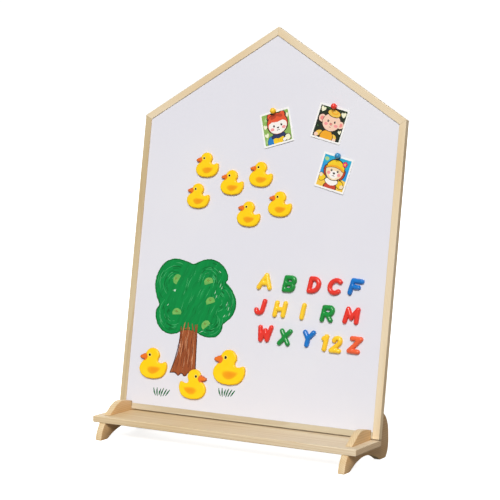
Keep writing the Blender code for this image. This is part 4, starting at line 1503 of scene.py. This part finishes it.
class Carcass:
    """The wooden frame, its panels, the feet and the tray: CAD shapes with their own cuts of timber."""

    def __init__(self, plane: BoardPlane) -> None:
        """Keep the board's plane, whose directions the grain follows."""
        self.plane = plane

    def slope(self, node: str) -> Vector:
        """Return the direction that a bar runs in, from its longest spread of points."""
        spots = self.plane.points(node)[:, :2]
        spread = spots - spots.mean(0)
        way = np.linalg.svd(spread, full_matrices=False)[2][0]
        return (self.plane.right * way[0] + self.plane.up * way[1]).normalized()

    def bar(self, node: str, pith: tuple[float, float], **changes: str | float | tuple) -> None:
        """Dress one bar of the frame with grain along it."""
        grain = self.slope(node)
        width = self.plane.out.cross(grain)
        timber = Timber(node + "_pine", tuple(grain), tuple(width), tuple(self.plane.out), pith, **changes)
        dress(node, timber.material())

    def sanded(self, node: str, finish: bpy.types.Material, body: str) -> None:
        """Let a smooth-shaded copy of a curved node stand for it, so its edge shows no facets."""
        mesh = cleaned(frame["nodes"][node].data.copy(), MICRON)
        mesh.materials.clear()
        mesh.materials.append(finish)
        piece = shown(node + "_sanded", mesh, sharp=20.0)
        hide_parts(node)
        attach(piece, body)

    def build(self) -> None:
        """Dress every piece of timber and every panel."""
        side, deep, up = (1.0, 0.0, 0.0), (0.0, 1.0, 0.0), (0.0, 0.0, 1.0)
        shades = {"pale": "#D3C19D", "warm": "#C8B186", "late": "#B4976A"}
        # The stiles, tray and feet take painted shade on their side faces.
        self.bar("left_stile", (0.30, 0.075), flank=side, flank_share=0.3, **shades)
        self.bar("right_stile", (-0.42, 0.068), flank=side, flank_share=0.12)
        self.bar("left_rafter", (0.02, 0.09))
        self.bar("right_rafter", (-0.03, 0.082))
        self.bar("bottom_rail", (0.06, 0.07), pale="#D2C8B2", warm="#C9BC9F", late="#B79F7C")
        # The tray lightens from left to right: painted light.
        tray = Timber("tray_pine", side, deep, up, (-0.05, -0.03), 0.0042, "#E0CAA4", "#D6B988", "#C09A64",
                      flank=side, flank_tone="#E2B276", flank_share=0.45, painted_end_light=0.6)
        dress("tray", tray.material())
        for node, pith in (("left_foot", (0.10, -0.29)), ("right_foot", (0.12, 0.36))):
            timber = Timber(node + "_pine", deep, up, side, pith, 0.0036, "#E6CFA6", "#D8B887", "#BC9058",
                            flank=side, flank_tone="#E4AE6E", flank_share=0.55)
            self.sanded(node, timber.material(), "feet")
        beech = Timber("beech_keys", tuple(self.plane.up), side, tuple(self.plane.out), (0.2, 0.1), 0.0022,
                       "#DDB98A", "#CFA573", "#B98954").material()
        for node in ("left_eave_key", "right_eave_key", "ridge_key", "left_rail_dowel", "right_rail_dowel"):
            dress(node, beech)
        up = tuple(self.plane.up)
        dress("writing_sheet", Enamel().material())
        dress("core_board", Fibreboard("core_fibre", "#C9A877", "#A98655", up).material())
        dress("backing_board", Fibreboard("backing_hardboard", "#CFAB7E", "#B1895C", up, 0.0022).material())


# Studio


class Studio:
    """A pale floor, soft light and the camera."""

    FLOOR = 30.0
    CAMERA = Vector((1.790, -3.045, 0.7645))
    YAW = math.radians(30.4)
    PITCH = math.radians(-5.59)
    ROLL = math.radians(0.52)
    LENS = 121.1
    AMBIENT = 0.22
    GLOW = 0.8

    def floor(self) -> None:
        """Lay a pale floor that looks brighter than the light it throws back on the easel."""
        form = bmesh.new()
        bmesh.ops.create_grid(form, x_segments=4, y_segments=4, size=self.FLOOR)
        mesh = written(form, bpy.data.meshes.new("floor"))
        s = Shader("pale_floor")
        cloud = s.noise(s.spot(), 0.6, 2.0)
        seen = s.node("ShaderNodeLightPath")
        paint = s.mixed(cloud, tint("#F4F4F4"), tint("#F8F8F7"))
        s.finish(
            Base_Color=s.mixed(seen, (0.34, 0.33, 0.32, 1.0), paint),
            Roughness=0.85 + cloud * 0.05,
            Specular_IOR_Level=0.0,
            Emission_Color=s.mixed(seen, (0.0, 0.0, 0.0, 1.0), (self.GLOW, self.GLOW, self.GLOW, 1.0)),
            Emission_Strength=1.0,
        )
        mesh.materials.append(s.material)
        shown("floor", mesh, smooth=False)

    def sky(self) -> None:
        """Surround the studio with a white backdrop that gives only a soft, even light."""
        world = bpy.data.worlds.new("studio")
        world.use_nodes = True
        tree = world.node_tree
        seen = tree.nodes.new("ShaderNodeLightPath")
        span = tree.nodes.new("ShaderNodeMapRange")
        span.inputs[3].default_value = self.AMBIENT
        span.inputs[4].default_value = 1.05
        tree.links.new(seen.outputs["Is Camera Ray"], span.inputs[0])
        tree.links.new(span.outputs[0], tree.nodes["Background"].inputs["Strength"])
        tree.nodes["Background"].inputs["Color"].default_value = (1.0, 1.0, 1.0, 1.0)
        bpy.context.scene.world = world

    def lamp(self, name: str, way: Vector, spread: float, power: float, warmth: Colour) -> None:
        """Hang a distant soft light.

        Args:
            name: The light's name.
            way: Direction from the easel to the light.
            spread: How wide the light looks from the easel, in degrees.
            power: Its strength.
            warmth: Its colour.
        """
        data = bpy.data.lights.new(name, "SUN")
        data.angle = math.radians(spread)
        data.energy = power * math.pi
        data.color = warmth[:3]
        item = bpy.data.objects.new(name, data)
        item.matrix_world = way.to_track_quat("Z", "Y").to_matrix().to_4x4()
        bpy.context.scene.collection.objects.link(item)

    def camera(self) -> None:
        """Stand the camera to the right of the easel, looking slightly down."""
        cos, sin = math.cos, math.sin
        ahead = Vector((-sin(self.YAW) * cos(self.PITCH), cos(self.YAW) * cos(self.PITCH), sin(self.PITCH)))
        right = Vector((cos(self.YAW), sin(self.YAW), 0))
        up = right.cross(ahead)
        tipped = right * cos(self.ROLL) + up * sin(self.ROLL)
        raised = up * cos(self.ROLL) - right * sin(self.ROLL)
        data = bpy.data.cameras.new("camera")
        data.lens = self.LENS
        data.sensor_width = 36.0
        data.clip_start = 0.05
        data.clip_end = 100.0
        item = bpy.data.objects.new("camera", data)
        turn = Matrix((tipped, raised, -ahead)).transposed().to_4x4()
        item.matrix_world = Matrix.Translation(self.CAMERA) @ turn
        bpy.context.scene.collection.objects.link(item)
        bpy.context.scene.camera = item

    def build(self) -> None:
        """Set the studio up."""
        self.floor()
        self.sky()
        self.lamp("key", Vector((0.35, -1.0, 0.8)), 24.0, 0.92, (1.0, 0.985, 0.965, 1.0))
        self.lamp("rear_fill", Vector((-0.9, 1.0, 0.45)), 60.0, 0.42, (1.0, 0.99, 0.97, 1.0))
        self.camera()
        bpy.context.scene.view_settings.view_transform = "Standard"


def main() -> None:
    """Build the easel's looks around the CAD frame."""
    logging.basicConfig(level=logging.INFO, format="%(name)s %(message)s")
    plane = BoardPlane()
    Studio().build()
    Carcass(plane).build()
    Magnets(plane).build()
    TreeDrawing(plane).build()
    FoxCard(plane, "green_card", 16.0, 1.6, 8.0).build()
    MouseCard(plane, "garden_card", -13.5, 1.3, -10.0).build()
    PuppyCard(plane, "seaside_card", -13.5, 1.8, 12.0).build()
    disc = Ferrite("pin_disc").material()
    for name, colour in (("yellow", Plastics.YELLOW), ("red", Plastics.RED), ("blue", Plastics.SKY)):
        PinMagnet(plane, name + "_pin", colour, name + "_plastic").build()
        dress(name + "_pin_magnet", disc)


if __name__ == "__main__":
    main()
